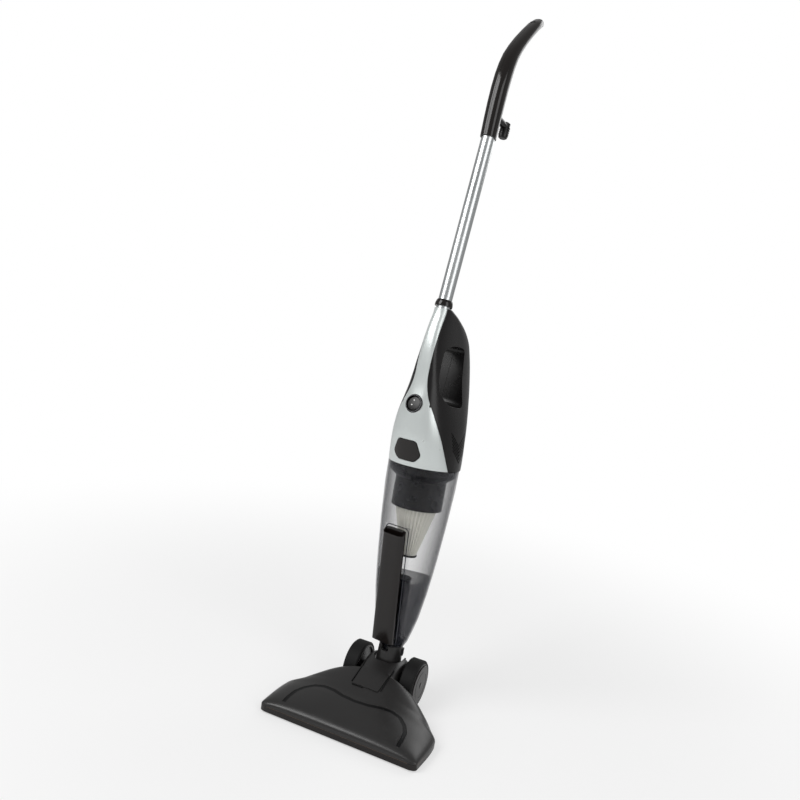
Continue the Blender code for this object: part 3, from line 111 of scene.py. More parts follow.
DUCT_HALF = 0.0130
DUCT_DEEP = 0.0050
DUCT_Y = SLOT_CENTRE
DUCT_WALL = 0.0014
DUCT_END_Z = 0.036

# Wheels
WHEEL_RADIUS = 0.0375
WHEEL_OUTER = 0.0617
WHEEL_WIDTH = 0.0250
TYRE_THICKNESS = 0.0045
HUB_BORE = 0.0042
CAP_THICKNESS = 0.0016
CAP_RING_SHARE = 0.62

# Neck
PIVOT_Y = 0.0029
PIVOT_Z = 0.0365
REST_LEAN = 4.0
REST_SWIVEL = -10.0
BARREL_RADIUS = 0.0155
BARREL_HALF = 0.0125
STEM_RADIUS = 0.0150
STEM_TOP = 0.0290
AIR_BORE = 0.0112
PIN_RADIUS = 0.0040
SOCKET_BOTTOM = 0.0205
SOCKET_TOP = 0.0510
SOCKET_RADIUS = 0.0205
SPIGOT_RADIUS = 0.0142
SPIGOT_BOTTOM = 0.0330
FIT = 0.0004
NECK_BORE = 0.0085
RELEASE_HALF = 0.0042
RELEASE_LOW = SOCKET_BOTTOM + 0.0140
RELEASE_HIGH = RELEASE_LOW + 0.0110
RELEASE_ANGLE = -65.0
RELEASE_RIBS = 5
NOTCH_HALF = 0.0065
NOTCH_ROUNDING = 0.003

# Dust cup
CUP_WALL = 0.0016
CUP_RADIUS = 0.0563
CUP_TOP = 0.3425
CUP_FLOOR = SOCKET_TOP + 0.0032
HOLDER_RADIUS = 0.0403
HOLDER_BOTTOM = CUP_TOP - 0.0676
FILTER_LENGTH = 0.0770
FILTER_TOP_RADIUS = 0.0400
FILTER_END_RADIUS = 0.0135
PLEATS = 32
PLEAT_DEPTH = 0.0034
FILTER_WALL = 0.0012
FILTER_TAPER = 0.0035
FILTER_LIFT = 0.0110
INLET_RADIUS = 0.0135
INLET_TOP = 0.1580

# Crevice tool
TOOL_HALF = 0.0190
TOOL_TOP = 0.2440
TOOL_BOTTOM = 0.0600
TOOL_WALL = 0.0018
TOOL_BACK_LOW = 0.0234
TOOL_BACK_SLOPE = 0.120
TOOL_FRONT_LOW = 0.0336
TOOL_FRONT_SLOPE = 0.127
TOOL_REST = 0.0008
TOOL_MOUTH_DROP = 0.0090

# Hand unit
SHELL_WALL = 0.0022
UNIT_LENGTH = 0.2435
UNIT_TOP = CUP_TOP + UNIT_LENGTH
CAVITY_TOP = UNIT_TOP - 0.0280
SWITCH_Z = CUP_TOP + 0.3943 * UNIT_LENGTH
SWITCH_RADIUS = 0.0140
ROCKER_RADIUS = 0.0113
BUTTON_BOTTOM = CUP_TOP + 0.0090
BUTTON_HEIGHT = 0.0315
BUTTON_TOP = BUTTON_BOTTOM + BUTTON_HEIGHT
BUTTON_HALF = 0.0240
BUTTON_INNER = 0.0063
BUTTON_ROUNDING = 0.005
# Shares of its height where it is widest, and of its width at its foot and at its top
BUTTON_WIDEST = 0.34
BUTTON_FOOT = 0.62
BUTTON_HEAD = 0.66
WINDOW_ROUNDING = 0.011
VENT_COUNT = 6
VENT_PITCH = 0.0051
VENT_HALF = 0.0210
VENT_RISE = 0.0200
VENT_THICKNESS = 0.0020
VENT_LOW = CUP_TOP + 0.0140
VENT_BACK = 0.0080
VENT_SHIFT = 0.0012
VENT_POINT = 1.2
ROCKER_TILT = 6.0
ROCKER_PLACE = (0, 0, -0.0015)
SWITCH_LEAN = 79.0
GLAND_RADIUS = 0.0058
GLAND_BORE = 0.0036
GLAND_Z = CUP_TOP + 0.2320 * UNIT_LENGTH
STRIP_DEPTH = 0.0070
STRIP_START = CUP_TOP + 0.3655 * UNIT_LENGTH
BACK_SQUARENESS = 2.2
NOZZLE_RADIUS = 0.0128
NOZZLE_HEEL = 0.0023
NOZZLE_SQUARENESS = 2.2

# Tube and grip
TUBE_BACK = -0.0273
TUBE_FOOT = UNIT_TOP + 0.0054
TUBE_LEAN = 8.9
TUBE_RADIUS = 0.0106
TUBE_WALL = 0.0008
TUBE_INSERT = 0.0380
TUBE_VISIBLE = 0.2680
GRIP_LENGTH = 0.2265
GRIP_INSERT = 0.0320
GRIP_WALL = 0.0022
COLLAR_RADIUS = 0.0138
COLLAR_HEIGHT = 0.0100
HOOK_T = TUBE_VISIBLE + 0.0385
HOOK_PIN = 0.0020
HOOK_START = 0.0110
HOOK_REACH = 0.0460
HOOK_KNOB_AT = HOOK_REACH - 0.004
HOOK_STEM = 0.0056
HOOK_KNOB = 0.0080
HOOK_DROP = 0.0190

# Steps of a full turn
ROUND = 96
COARSE = 48
CUP_STEPS = 128
# Rows of the hand unit's outer and inner skin and points along its cover's edge
OUTER_ROWS = 90
INNER_ROWS = 30

# Sections of the hand unit: share of its height, then front, back, half width and place of the widest
# point in cup radii, and how square the front is
UNIT_SHAPE = [
    (0.000, -1.000, 1.000, 1.000, 0.000, 2.00),
    (0.037, -1.034, 1.034, 0.989, 0.018, 2.08),
    (0.107, -1.096, 1.012, 0.970, 0.071, 2.20),
    (0.185, -1.146, 1.012, 0.938, 0.107, 2.30),
    (0.263, -1.162, 1.066, 0.888, 0.142, 2.40),
    (0.341, -1.155, 1.158, 0.808, 0.178, 2.50),
    (0.423, -1.087, 1.258, 0.702, 0.231, 2.70),
    (0.501, -1.027, 1.332, 0.595, 0.284, 3.00),
    (0.579, -0.998, 1.355, 0.497, 0.320, 3.40),
    (0.657, -0.988, 1.309, 0.426, 0.355, 3.60),
    (0.735, -0.963, 1.224, 0.364, 0.355, 3.60),
    (0.817, -0.909, 1.066, 0.320, 0.284, 3.60),
    (0.895, -0.835, 0.710, 0.284, 0.107, 3.40),
    (0.959, -0.742, 0.178, 0.259, -0.142, 3.00),
]
# Silver cover seen from the front: share of the unit's height, half width in cup radii
COVER_SHAPE = [
    (-0.037, 0.968), (0.012, 0.941), (0.201, 0.773), (0.341, 0.560), (0.431, 0.364), (0.480, 0.281),
    (0.530, 0.227), (0.579, 0.202), (0.661, 0.201), (0.825, 0.204), (1.057, 0.195),
]
# Hand opening seen from the side: back in cup radii, share of the unit's height
WINDOW_SHAPE = [
    (-0.533, 0.758), (-0.684, 0.651), (-0.760, 0.544), (-0.710, 0.470), (-0.426, 0.409), (0.266, 0.400),
    (0.329, 0.495), (0.400, 0.598), (0.480, 0.700), (0.533, 0.774), (0.000, 0.786),
]
# Sections of the grip: share of its length above the bare tube, then back, half depth and half width
# in tube radii
GRIP_SHAPE = [
    (0.000, -0.019, 1.151, 1.151),
    (0.106, -0.189, 1.208, 1.189),
    (0.234, -0.330, 1.264, 1.226),
    (0.344, -0.377, 1.274, 1.245),
    (0.433, -0.302, 1.274, 1.245),
    (0.512, -0.113, 1.208, 1.226),
    (0.592, 0.274, 1.094, 1.208),
    (0.671, 0.972, 0.962, 1.179),
    (0.755, 1.934, 0.849, 1.170),
    (0.848, 3.208, 0.783, 1.132),
    (0.932, 4.481, 0.755, 1.085),
    (0.985, 5.472, 0.679, 0.981),
    (1.000, 5.802, 0.425, 0.660),
]


# ---------------------------------------------------------------- helpers

def frame_empty(name, location, rotation_degrees, parent=None):
    empty = bpy.data.objects.new(name, None)
    bpy.context.scene.collection.objects.link(empty)
    empty.rotation_mode = "XYZ"
    empty.location = location
    empty.rotation_euler = [math.radians(a) for a in rotation_degrees]
    empty.parent = parent
    FRAMES.append(empty)
    return empty


def new_form(name, bm, parent, location, rotation, sharp=SHARP_ANGLE):
    """An object with the bmesh's form, placed in its parent's frame, before its cuts are made."""
    bmesh.ops.remove_doubles(bm, verts=bm.verts, dist=1e-7)
    bmesh.ops.recalc_face_normals(bm, faces=bm.faces)
    mesh = bpy.data.meshes.new(name)
    bm.to_mesh(mesh)
    bm.free()
    made = bpy.data.objects.new("form_" + name, mesh)
    bpy.context.scene.collection.objects.link(made)
    made.parent = parent
    made.location = location
    made.rotation_euler = [math.radians(a) for a in rotation]
    made["sharp"] = sharp
    return made


def add_object(name, bm, parent=None, location=(0, 0, 0), rotation=(0, 0, 0), sharp=SHARP_ANGLE):
    """The form of one CAD node, under the node's name."""
    MADE[name] = new_form(name, bm, parent, location, rotation, sharp)
    return MADE[name]


def add_detail(name, bm, finish, like, parent=None, location=(0, 0, 0), rotation=(0, 0, 0)):
    """A small extra piece that rides with a CAD node, in the finish it is given."""
    DETAILS.append((name, new_form(name, bm, parent, location, rotation), finish, like))


def add_cutter(name, bm, parent=None, location=(0, 0, 0), rotation=(0, 0, 0)):
    made = new_form(name, bm, parent, location, rotation)
    CUTTERS.append(made)
    made.hide_render = True
    return made


def boolean(target, cutter, operation="DIFFERENCE"):
    change = target.modifiers.new(cutter.name, "BOOLEAN")
    change.operation = operation
    change.solver = "EXACT"
    change.object = cutter


def cut(target, name, bm, parent=None, location=(0, 0, 0), rotation=(0, 0, 0), operation="DIFFERENCE"):
    """Take a new form out of the target, or join or intersect the two."""
    boolean(target, add_cutter(name, bm, parent, location, rotation), operation)


def circle(radius, z=0.0, steps=ROUND, centre=(0.0, 0.0)):
    turn = 2 * math.pi / steps
    return [
        Vector((centre[0] + radius * math.cos(i * turn), centre[1] + radius * math.sin(i * turn), z))
        for i in range(steps)
    ]


def join(bm, low, high):
    """Four-sided faces between two closed rows of equal count."""
    for i in range(len(low)):
        j = (i + 1) % len(low)
        bm.faces.new((low[i], low[j], high[j], high[i]))


def loft(rings, closed=False):
    """A skin through rings of equal count; both ends are capped unless the rings close on themselves."""
    bm = bmesh.new()
    rows = [[bm.verts.new(p) for p in ring] for ring in rings]
    pairs = list(zip(rows, rows[1:]))
    if closed:
        pairs.append((rows[-1], rows[0]))
    for low, high in pairs:
        join(bm, low, high)
    if not closed:
        bm.faces.new(list(reversed(rows[0])))
        bm.faces.new(rows[-1])
    return bm


def turned(profile, steps=ROUND):
    """A ring-shaped solid: the closed outline (radius, z) turned about Z, no point on the axis."""
    return loft([circle(r, z, steps) for r, z in profile], closed=True)


def stack(profile, steps=ROUND, centre=(0.0, 0.0)):
    """A round solid with flat ends through (radius, z) rows."""
    return loft([circle(r, z, steps, centre) for r, z in profile])


def rod(radius, low, high, steps=ROUND, chamfer=0.0):
    rows = [(radius, low), (radius, high)]
    if chamfer:
        rows = [(radius - chamfer, low), (radius, low + chamfer)]
        rows += [(radius, high - chamfer), (radius - chamfer, high)]
    return stack(rows, steps)


def mirrored(right):
    """A row of points (x, other) on the right, followed by its mirror image on the left."""
    return right + [(-x, other) for x, other in reversed(right)]


def full_turn(steps, offset=0.0):
    return [2 * math.pi * (i + offset) / steps for i in range(steps)]


def prism(outline, low, high, axis="Z"):
    """A straight extrusion of a plane outline along X, Y or Z."""
    def place(a, b, c):
        return Vector({"Z": (a, b, c), "X": (c, a, b), "Y": (a, c, b)}[axis])
    return loft([[place(a, b, low) for a, b in outline], [place(a, b, high) for a, b in outline]])


def block(x0, x1, y0, y1, z0, z1):
    return prism([(x0, y0), (x1, y0), (x1, y1), (x0, y1)], z0, z1)


def between(table, at):
    """Smooth value at a place in a table of (place, value) rows."""
    places = [row[0] for row in table]
    if at <= places[0]:
        return table[0][1]
    if at >= places[-1]:
        return table[-1][1]
    k = max(i for i, place in enumerate(places) if place <= at)
    span = places[k + 1] - places[k]
    t = (at - places[k]) / span

    def slope(i):
        if i in (0, len(table) - 1):
            j = 1 if i == 0 else i
            return (table[j][1] - table[j - 1][1]) / (places[j] - places[j - 1])
        return (table[i + 1][1] - table[i - 1][1]) / (places[i + 1] - places[i - 1])

    a, b = table[k][1], table[k + 1][1]
    ma, mb = slope(k) * span, slope(k + 1) * span
    return (
        (2 * t**3 - 3 * t**2 + 1) * a + (t**3 - 2 * t**2 + t) * ma
        + (3 * t**2 - 2 * t**3) * b + (t**3 - t**2) * mb
    )


def power(value, exponent):
    return math.copysign(abs(value) ** exponent, value)


def rounded(points, radius, steps=10):
    """The outline with each corner replaced by a short smooth curve."""
    out = []
    count = len(points)
    for i in range(count):
        before, here, after = (Vector(points[(i + k) % count]) for k in (-1, 0, 1))
        start = here + (before - here).normalized() * min(radius, (before - here).length * 0.45)
        end = here + (after - here).normalized() * min(radius, (after - here).length * 0.45)
        for s in range(steps + 1):
            t = s / steps
            out.append(tuple(start * (1 - t) ** 2 + here * 2 * t * (1 - t) + end * t**2))
    return out


# ---------------------------------------------------------------- floor head

HEAD_HALF = HEAD_WIDTH / 2
WHEEL_INNER = WHEEL_OUTER - WHEEL_WIDTH
HEAD_HALF_WIDTHS = [
    (HEAD_FRONT, HEAD_HALF - 0.0090),
    (HEAD_FRONT + 0.0025, HEAD_HALF - 0.0025),
    (HEAD_FRONT + 0.0070, HEAD_HALF),
    (HEAD_SIDE_REAR, HEAD_HALF),
    (HEAD_SIDE_REAR + 0.014, HEAD_HALF - 0.010),
    (HEAD_SIDE_REAR + 0.033, HEAD_HALF - 0.027),
    (-WHEEL_RADIUS - 0.0060, 0.0720),
    (-WHEEL_RADIUS - 0.0020, HEAD_TAIL_HALF + 0.0040),
    (-WHEEL_RADIUS + 0.0020, HEAD_TAIL_HALF),
    (HEAD_REAR - 0.004, HEAD_TAIL_HALF),
    (HEAD_REAR, HEAD_TAIL_HALF - 0.004),
]
# Rows of the cover from front to back: place, crown height, height at the two ends
COVER_ROWS = [
    (HEAD_FRONT, SEAM, SEAM),
    (HEAD_FRONT + 0.0008, COVER_NOSE_HEIGHT - 0.003, COVER_NOSE_HEIGHT - 0.004),
    (HEAD_FRONT + 0.0035, COVER_NOSE_HEIGHT + 0.001, COVER_NOSE_HEIGHT - 0.0015),
    (HEAD_FRONT + 0.0100, COVER_NOSE_HEIGHT + 0.005, COVER_END_HEIGHT - 0.001),
    (HEAD_FRONT + 0.0200, COVER_NOSE_HEIGHT + 0.0085, COVER_END_HEIGHT),
    (HEAD_FRONT + 0.0350, COVER_NOSE_HEIGHT + 0.0125, COVER_END_HEIGHT),
    (HEAD_FRONT + 0.0520, COVER_NOSE_HEIGHT + 0.0160, COVER_END_HEIGHT),
    (HEAD_SIDE_REAR, COVER_NOSE_HEIGHT + 0.0190, COVER_END_HEIGHT),
    (HEAD_SIDE_REAR + 0.014, COVER_CROWN - 0.0230, COVER_END_HEIGHT + 0.001),
    (HEAD_SIDE_REAR + 0.033, COVER_CROWN - 0.0160, COVER_END_HEIGHT + 0.004),
    (-WHEEL_RADIUS - 0.0060, COVER_CROWN - 0.0105, COVER_END_HEIGHT + 0.010),
    (-WHEEL_RADIUS - 0.0020, COVER_CROWN - 0.0090, COVER_TAIL - 0.013),
    (-WHEEL_RADIUS + 0.0140, COVER_CROWN - 0.0035, COVER_TAIL - 0.004),
    (-0.0060, COVER_CROWN, COVER_TAIL),
    (HEAD_REAR - 0.0100, COVER_CROWN - 0.001, COVER_TAIL - 0.001),
    (HEAD_REAR - 0.0030, COVER_CROWN - 0.005, COVER_TAIL - 0.005),
    (HEAD_REAR - 0.0008, COVER_CROWN - 0.011, COVER_TAIL - 0.010),
    (HEAD_REAR, SEAM, SEAM),
]
COVER_COLUMNS = 60
FAR_APART = 0.005
# How square the cover's sides and how flat its crown are: rounder in front, squarer between the wheels
SHOULDER_POWERS = [(-0.060, 9.0), (-0.028, 22.0)]
CROWN_POWERS = [(-0.075, 2.6), (-0.028, 4.5)]


def column_at(table, at, column=1):
    """Smooth value of one column of a table."""
    return between([(row[0], row[column]) for row in table], at)


def head_half_width(y):
    return between(HEAD_HALF_WIDTHS, y)


def cover_rise(share, y, crown, end):
    """Height of the cover's skin over the seam at a share of its half width."""
    side = math.sqrt(1 - share ** between(SHOULDER_POWERS, y))
    return (end - SEAM) * side + (crown - end) * (1 - share ** between(CROWN_POWERS, y))


def cover_height(x, y):
    share = min(1.0, abs(x) / head_half_width(y))
    return SEAM + GAP + cover_rise(share, y, column_at(COVER_ROWS, y, 1), column_at(COVER_ROWS, y, 2))


def fine_cover_rows():
    """The cover's rows with smooth rows between them, more where they lie far apart."""
    places = [row[0] for row in COVER_ROWS]
    fine = []
    for low, high in zip(places, places[1:]):
        parts = 8 if high - low > FAR_APART else 3
        fine += [low + (high - low) * k / parts for k in range(parts)]
    fine.append(places[-1])
    return [(y, column_at(COVER_ROWS, y, 1), column_at(COVER_ROWS, y, 2)) for y in fine]


def cover_grid(bm, inset):
    """The cover's skin, drawn in by a wall; gives the row of points along its lower edge."""
    rows = []
    fine = fine_cover_rows()
    last = len(fine) - 1
    for k, (place, crown, end) in enumerate(fine):
        y = min(max(place, HEAD_FRONT + inset), HEAD_REAR - inset)
        if inset and 0 < k < last:
            y = HEAD_FRONT + inset + (place - HEAD_FRONT) * (1 - 2 * inset / (HEAD_REAR - HEAD_FRONT))
        half = head_half_width(place) - inset
        line = []
        for i in range(COVER_COLUMNS + 1):
            share = math.sin(math.pi * (i / COVER_COLUMNS - 0.5))
            z = SEAM + GAP
            if k not in (0, last) and i not in (0, COVER_COLUMNS):
                z += cover_rise(abs(share), place, crown - inset, end - inset)
            line.append(bm.verts.new((share * half, y, z)))
        rows.append(line)
    for low, high in zip(rows, rows[1:]):
        for i in range(COVER_COLUMNS):
            bm.faces.new((low[i], low[i + 1], high[i + 1], high[i]))
    return rows[0] + [row[-1] for row in rows[1:-1]] + rows[-1][::-1] + [row[0] for row in rows[-2:0:-1]]


def head_cover():
    bm = bmesh.new()
    join(bm, cover_grid(bm, 0.0), cover_grid(bm, COVER_WALL))
    cover = add_object("head_cover", bm, sharp=40)
    cut(cover, "recess_cut", prism(recess_outline(RECESS_RADIUS), -0.01, 0.08))
    cut(cover, "band_groove", surface_band(BAND_WIDTH / 2 + GAP, -BAND_DEPTH, 0.004))
    axle_hole = rod(HUB_BORE, -HEAD_HALF / 2, HEAD_HALF / 2, 12)
    cut(cover, "axle_hole", axle_hole, location=(0, 0, WHEEL_RADIUS), rotation=(0, 90, 0))


SCREW_PLACES = [
    (side * across, y)
    for across, y in ((HEAD_HALF - SCREW_SIDE, HEAD_SIDE_REAR - 0.008), (RECESS_RADIUS + 0.005, SCREW_REAR))
    for side in (-1, 1)
]


def recess_outline(radius):
    """The neck's recess from above: a half circle round the pivot, open to the rear."""
    arc = [math.pi * (1 + i / 12) for i in range(13)]
    points = [(radius * math.cos(a), PIVOT_Y + radius * math.sin(a)) for a in arc]
    return points + [(radius, HEAD_REAR + 0.02), (-radius, HEAD_REAR + 0.02)]


BAND_HALF_PATH = [
    (0.0930, HEAD_FRONT + 0.0105), (0.0928, -0.140), (0.0905, -0.124), (0.0835, -0.1115), (0.0710, -0.1005),
    (0.0560, -0.0970), (0.0400, -0.0990), (0.0220, -0.1045), (0.0, -0.1065),
]


def surface_band(half, low, high):
    """A ribbon that follows the cover's top along the arched path, from one height over it to another."""
    left_path = [(-x, y) for x, y in reversed(BAND_HALF_PATH[:-1])]
    path = [Vector(point) for point in BAND_HALF_PATH + left_path]
    rings = []
    for i, point in enumerate(path):
        ahead = path[min(i + 1, len(path) - 1)] - path[max(i - 1, 0)]
        side = Vector((-ahead.y, ahead.x)).normalized() * half
        left, right = point + side, point - side
        zl, zr = cover_height(*left), cover_height(*right)
        rings.append([
            Vector((*left, zl + low)), Vector((*right, zr + low)),
            Vector((*right, zr + high)), Vector((*left, zl + high)),
        ])
    return loft(rings)


def head_trim_band():
    low = GAP - BAND_DEPTH
    add_object("head_trim_band", surface_band(BAND_WIDTH / 2, low, low + BAND_THICKNESS))


def cover_form(raised):
    """The cover's outer form as a closed solid, lifted by a height."""
    bm = bmesh.new()
    bm.faces.new(cover_grid(bm, 0.0))
    bmesh.ops.translate(bm, verts=bm.verts, vec=(0.0, 0.0, raised))
    return bm


def centre_panel():
    """The raised plate on the middle of the cover, from the neck's recess forward."""
    panel = add_object("centre_panel", cover_form(PANEL_LIFT + PANEL_THICKNESS))
    narrow = PANEL_HALF - PANEL_TAPER
    outline = [
        (-narrow, PANEL_FRONT), (narrow, PANEL_FRONT), (PANEL_HALF, PANEL_REAR), (-PANEL_HALF, PANEL_REAR)
    ]
    region = prism(rounded(outline, PANEL_TAPER), COVER_NOSE_HEIGHT, 2 * COVER_CROWN)
    cut(panel, "panel_region", region, operation="INTERSECT")
    cut(panel, "panel_underside", cover_form(PANEL_LIFT))


def head_base():
    outline = mirrored([(head_half_width(row[0]), row[0]) for row in fine_cover_rows()])
    base = add_object("head_base", prism(outline, GROUND_CLEARANCE, SEAM))
    front, rear = SLOT_CENTRE - SLOT_DEPTH / 2, SLOT_CENTRE + SLOT_DEPTH / 2
    slot = block(-SLOT_HALF, SLOT_HALF, front, rear, -0.01, SEAM - SLOT_ROOF)
    cut(base, "suction_slot", slot)
    mouth = block(-DUCT_HALF, DUCT_HALF, DUCT_Y - DUCT_DEEP, DUCT_Y + DUCT_DEEP, 0, 0.02)
    cut(base, "duct_mouth", mouth)
    for place in SCREW_PLACES:
        cut(base, "base_hole", stack([(SCREW_SHANK + GAP, z) for z in (0.0, 0.02)], 8, place))
        cut(base, "base_sink", stack([(SCREW_HEAD + GAP, z) for z in (0.0, SCREW_SINK)], 10, place))


# Stations of the duct inside the head: y, z, lean of the section in degrees, half width, half height
DUCT_STATIONS = [
    (DUCT_Y, SEAM + GAP, 90, DUCT_HALF, DUCT_DEEP),
    (DUCT_Y + 0.0010, SEAM + 0.0040, 78, DUCT_HALF, DUCT_DEEP),
    (DUCT_Y + 0.0060, SEAM + 0.0090, 40, DUCT_HALF, DUCT_DEEP),
    (DUCT_Y + 0.0200, SEAM + 0.0120, 12, DUCT_HALF, DUCT_DEEP + 0.0005),
    (-0.0750, 0.0290, 12, 0.0120, 0.0070),
    (-0.0400, 0.0345, 6, 0.0105, 0.0090),
    (PIVOT_Y - BARREL_RADIUS - 0.0100, DUCT_END_Z, 2, 0.0095, 0.0095),
]


def suction_duct():
    def ring(y, z, lean, half_width, half_height, grow):
        angle = math.radians(lean)
        up = Vector((0, -math.sin(angle), math.cos(angle)))
        points = []
        for turn in full_turn(12):
            across = (half_width + grow) * power(math.cos(turn), 0.6)
            points.append(Vector((across, y, z)) + up * (half_height + grow) * power(math.sin(turn), 0.6))
        return points

    outer = [ring(*station, DUCT_WALL) for station in DUCT_STATIONS]
    inner = [ring(*station, 0.0) for station in reversed(DUCT_STATIONS)]
    add_object("suction_duct", loft(outer + inner, closed=True))


def bristle_strip(name, centre_y):
    """Two rows of three-sided strands, each drawn straight down out of the backing's underside."""
    pitch = 2 * BRUSH_HALF / BRUSH_COLUMNS
    side = pitch * BRUSH_SHARE
    low = BRUSH_INSET - BRUSH_BACK
    half = BRUSH_WIDTH / 2
    bm = bmesh.new()

    def point(x, y, z=low):
        return bm.verts.new((x, centre_y + y, z))

    corners = [point(sx * BRUSH_HALF, sy * half) for sx, sy in ((-1, -1), (1, -1), (1, 1), (-1, 1))]
    borders = []
    for row in (-1, 1):
        outside, inside = [], []
        for i in range(BRUSH_COLUMNS):
            left = -BRUSH_HALF + (i + 0.5) * pitch - side / 2
            out, inward = row * BRUSH_OUT, row * BRUSH_IN
            foot = [(left, out), (left + side, out), (left + side / 2, inward)]
            root = [point(x, y) for x, y in foot]
            tip = [point(x, y, 0.0) for x, y in foot]
            join(bm, root, tip)
            bm.faces.new(tip)
            outside += root[:2]
            inside.append(root[2])
        for i in range(BRUSH_COLUMNS - 1):
            bm.faces.new((outside[2 * i + 1], outside[2 * i + 2], inside[i + 1], inside[i]))
        borders.append((outside, inside))
    (front, front_in), (rear, rear_in) = borders
    bm.faces.new([corners[0], *front, corners[1]])
    bm.faces.new([corners[3], *rear, corners[2]])
    bm.faces.new([*front_in, *rear_in[::-1]])
    bm.faces.new([corners[0], front[0], front_in[0], rear_in[0], rear[0], corners[3]])
    bm.faces.new([corners[1], front[-1], front_in[-1], rear_in[-1], rear[-1], corners[2]])
    lifted = [bm.verts.new(v.co + Vector((0, 0, BRUSH_BACK))) for v in corners]
    join(bm, corners, lifted)
    bm.faces.new(lifted)
    add_object(name, bm)


def neck_cradle():
    """The tub in the head's rear that the neck's barrel turns in, open to the back."""
    outer = recess_outline(RECESS_RADIUS - GAP)
    inner = recess_outline(RECESS_RADIUS - GAP - CRADLE_WALL)
    top = COVER_CROWN - COVER_WALL
    tub = add_object("neck_cradle", prism(outer, SEAM + GAP, top))
    cut(tub, "cradle_hollow", prism(inner, SEAM - 0.005, top + 0.01))
    tail = block(-0.05, 0.05, HEAD_REAR - 0.0005, HEAD_REAR + 0.05, 0, 0.1)
    cut(tub, "cradle_tail", tail)
    air = rod(AIR_BORE, -0.04, 0.0, 16)
    cut(tub, "cradle_air", air, location=(0, PIVOT_Y, DUCT_END_Z), rotation=(-90, 0, 0))
    pins = rod(PIN_RADIUS + GAP, -0.03, 0.03, 12)
    cut(tub, "cradle_pins", pins, location=(0, PIVOT_Y, PIVOT_Z), rotation=(0, 90, 0))


def build_head():
    head_base()
    head_cover()
    head_trim_band()
    centre_panel()
    suction_duct()
    neck_cradle()
    edge = SLOT_DEPTH / 2 - BRUSH_WIDTH / 2 - GAP
    bristle_strip("front_bristles", SLOT_CENTRE - edge)
    bristle_strip("rear_bristles", SLOT_CENTRE + edge)


# ---------------------------------------------------------------- wheels

def build_wheel(side, name):
    """One wheel, turned about its own Z and laid over so that Z points out of the head."""
    inside = WHEEL_INNER
    axis = frame_empty(f"wheel_frame_{name}", (0, 0, WHEEL_RADIUS), (0, 90 * side, 0))
    rim = WHEEL_RADIUS - TYRE_THICKNESS
    face = WHEEL_OUTER - CAP_THICKNESS - GAP
    hub = turned([
        (HUB_BORE, face - 0.001), (HUB_BORE, inside + 0.0005), (0.0085, inside + 0.0005),
        (0.0085, face - 0.0055), (rim - 0.0025, face - 0.0055), (rim - 0.0025, inside + 0.001),
        (rim, inside + 0.001), (rim, face), (rim - 0.0022, face), (rim - 0.0022, face - 0.001),
    ])
    add_object(f"wheel_hub_{name}", hub, axis)
    inner = rim + GAP
    tyre = turned([
        (inner, face), (inner, inside + 0.001), (WHEEL_RADIUS - 0.0015, inside + 0.001),
        (WHEEL_RADIUS, inside + 0.0025), (WHEEL_RADIUS, face - 0.0022), (WHEEL_RADIUS - 0.0022, face),
    ])
    add_object(f"wheel_tyre_{name}", tyre, axis)
    reach = rim - 0.0025 - GAP
    cap = [
        (reach, face - 0.001 + GAP), (reach, face + 0.0005), (reach - 0.0012, WHEEL_OUTER - 0.0003),
        (reach * 0.5, WHEEL_OUTER),
    ]
    add_object(f"wheel_cap_{name}", stack(cap), axis)
    axle = rod(HUB_BORE - GAP, HEAD_TAIL_HALF - 0.0060, face - 0.0015, 12, 0.0004)
    add_object(f"axle_{name}", axle, axis)


# ---------------------------------------------------------------- neck

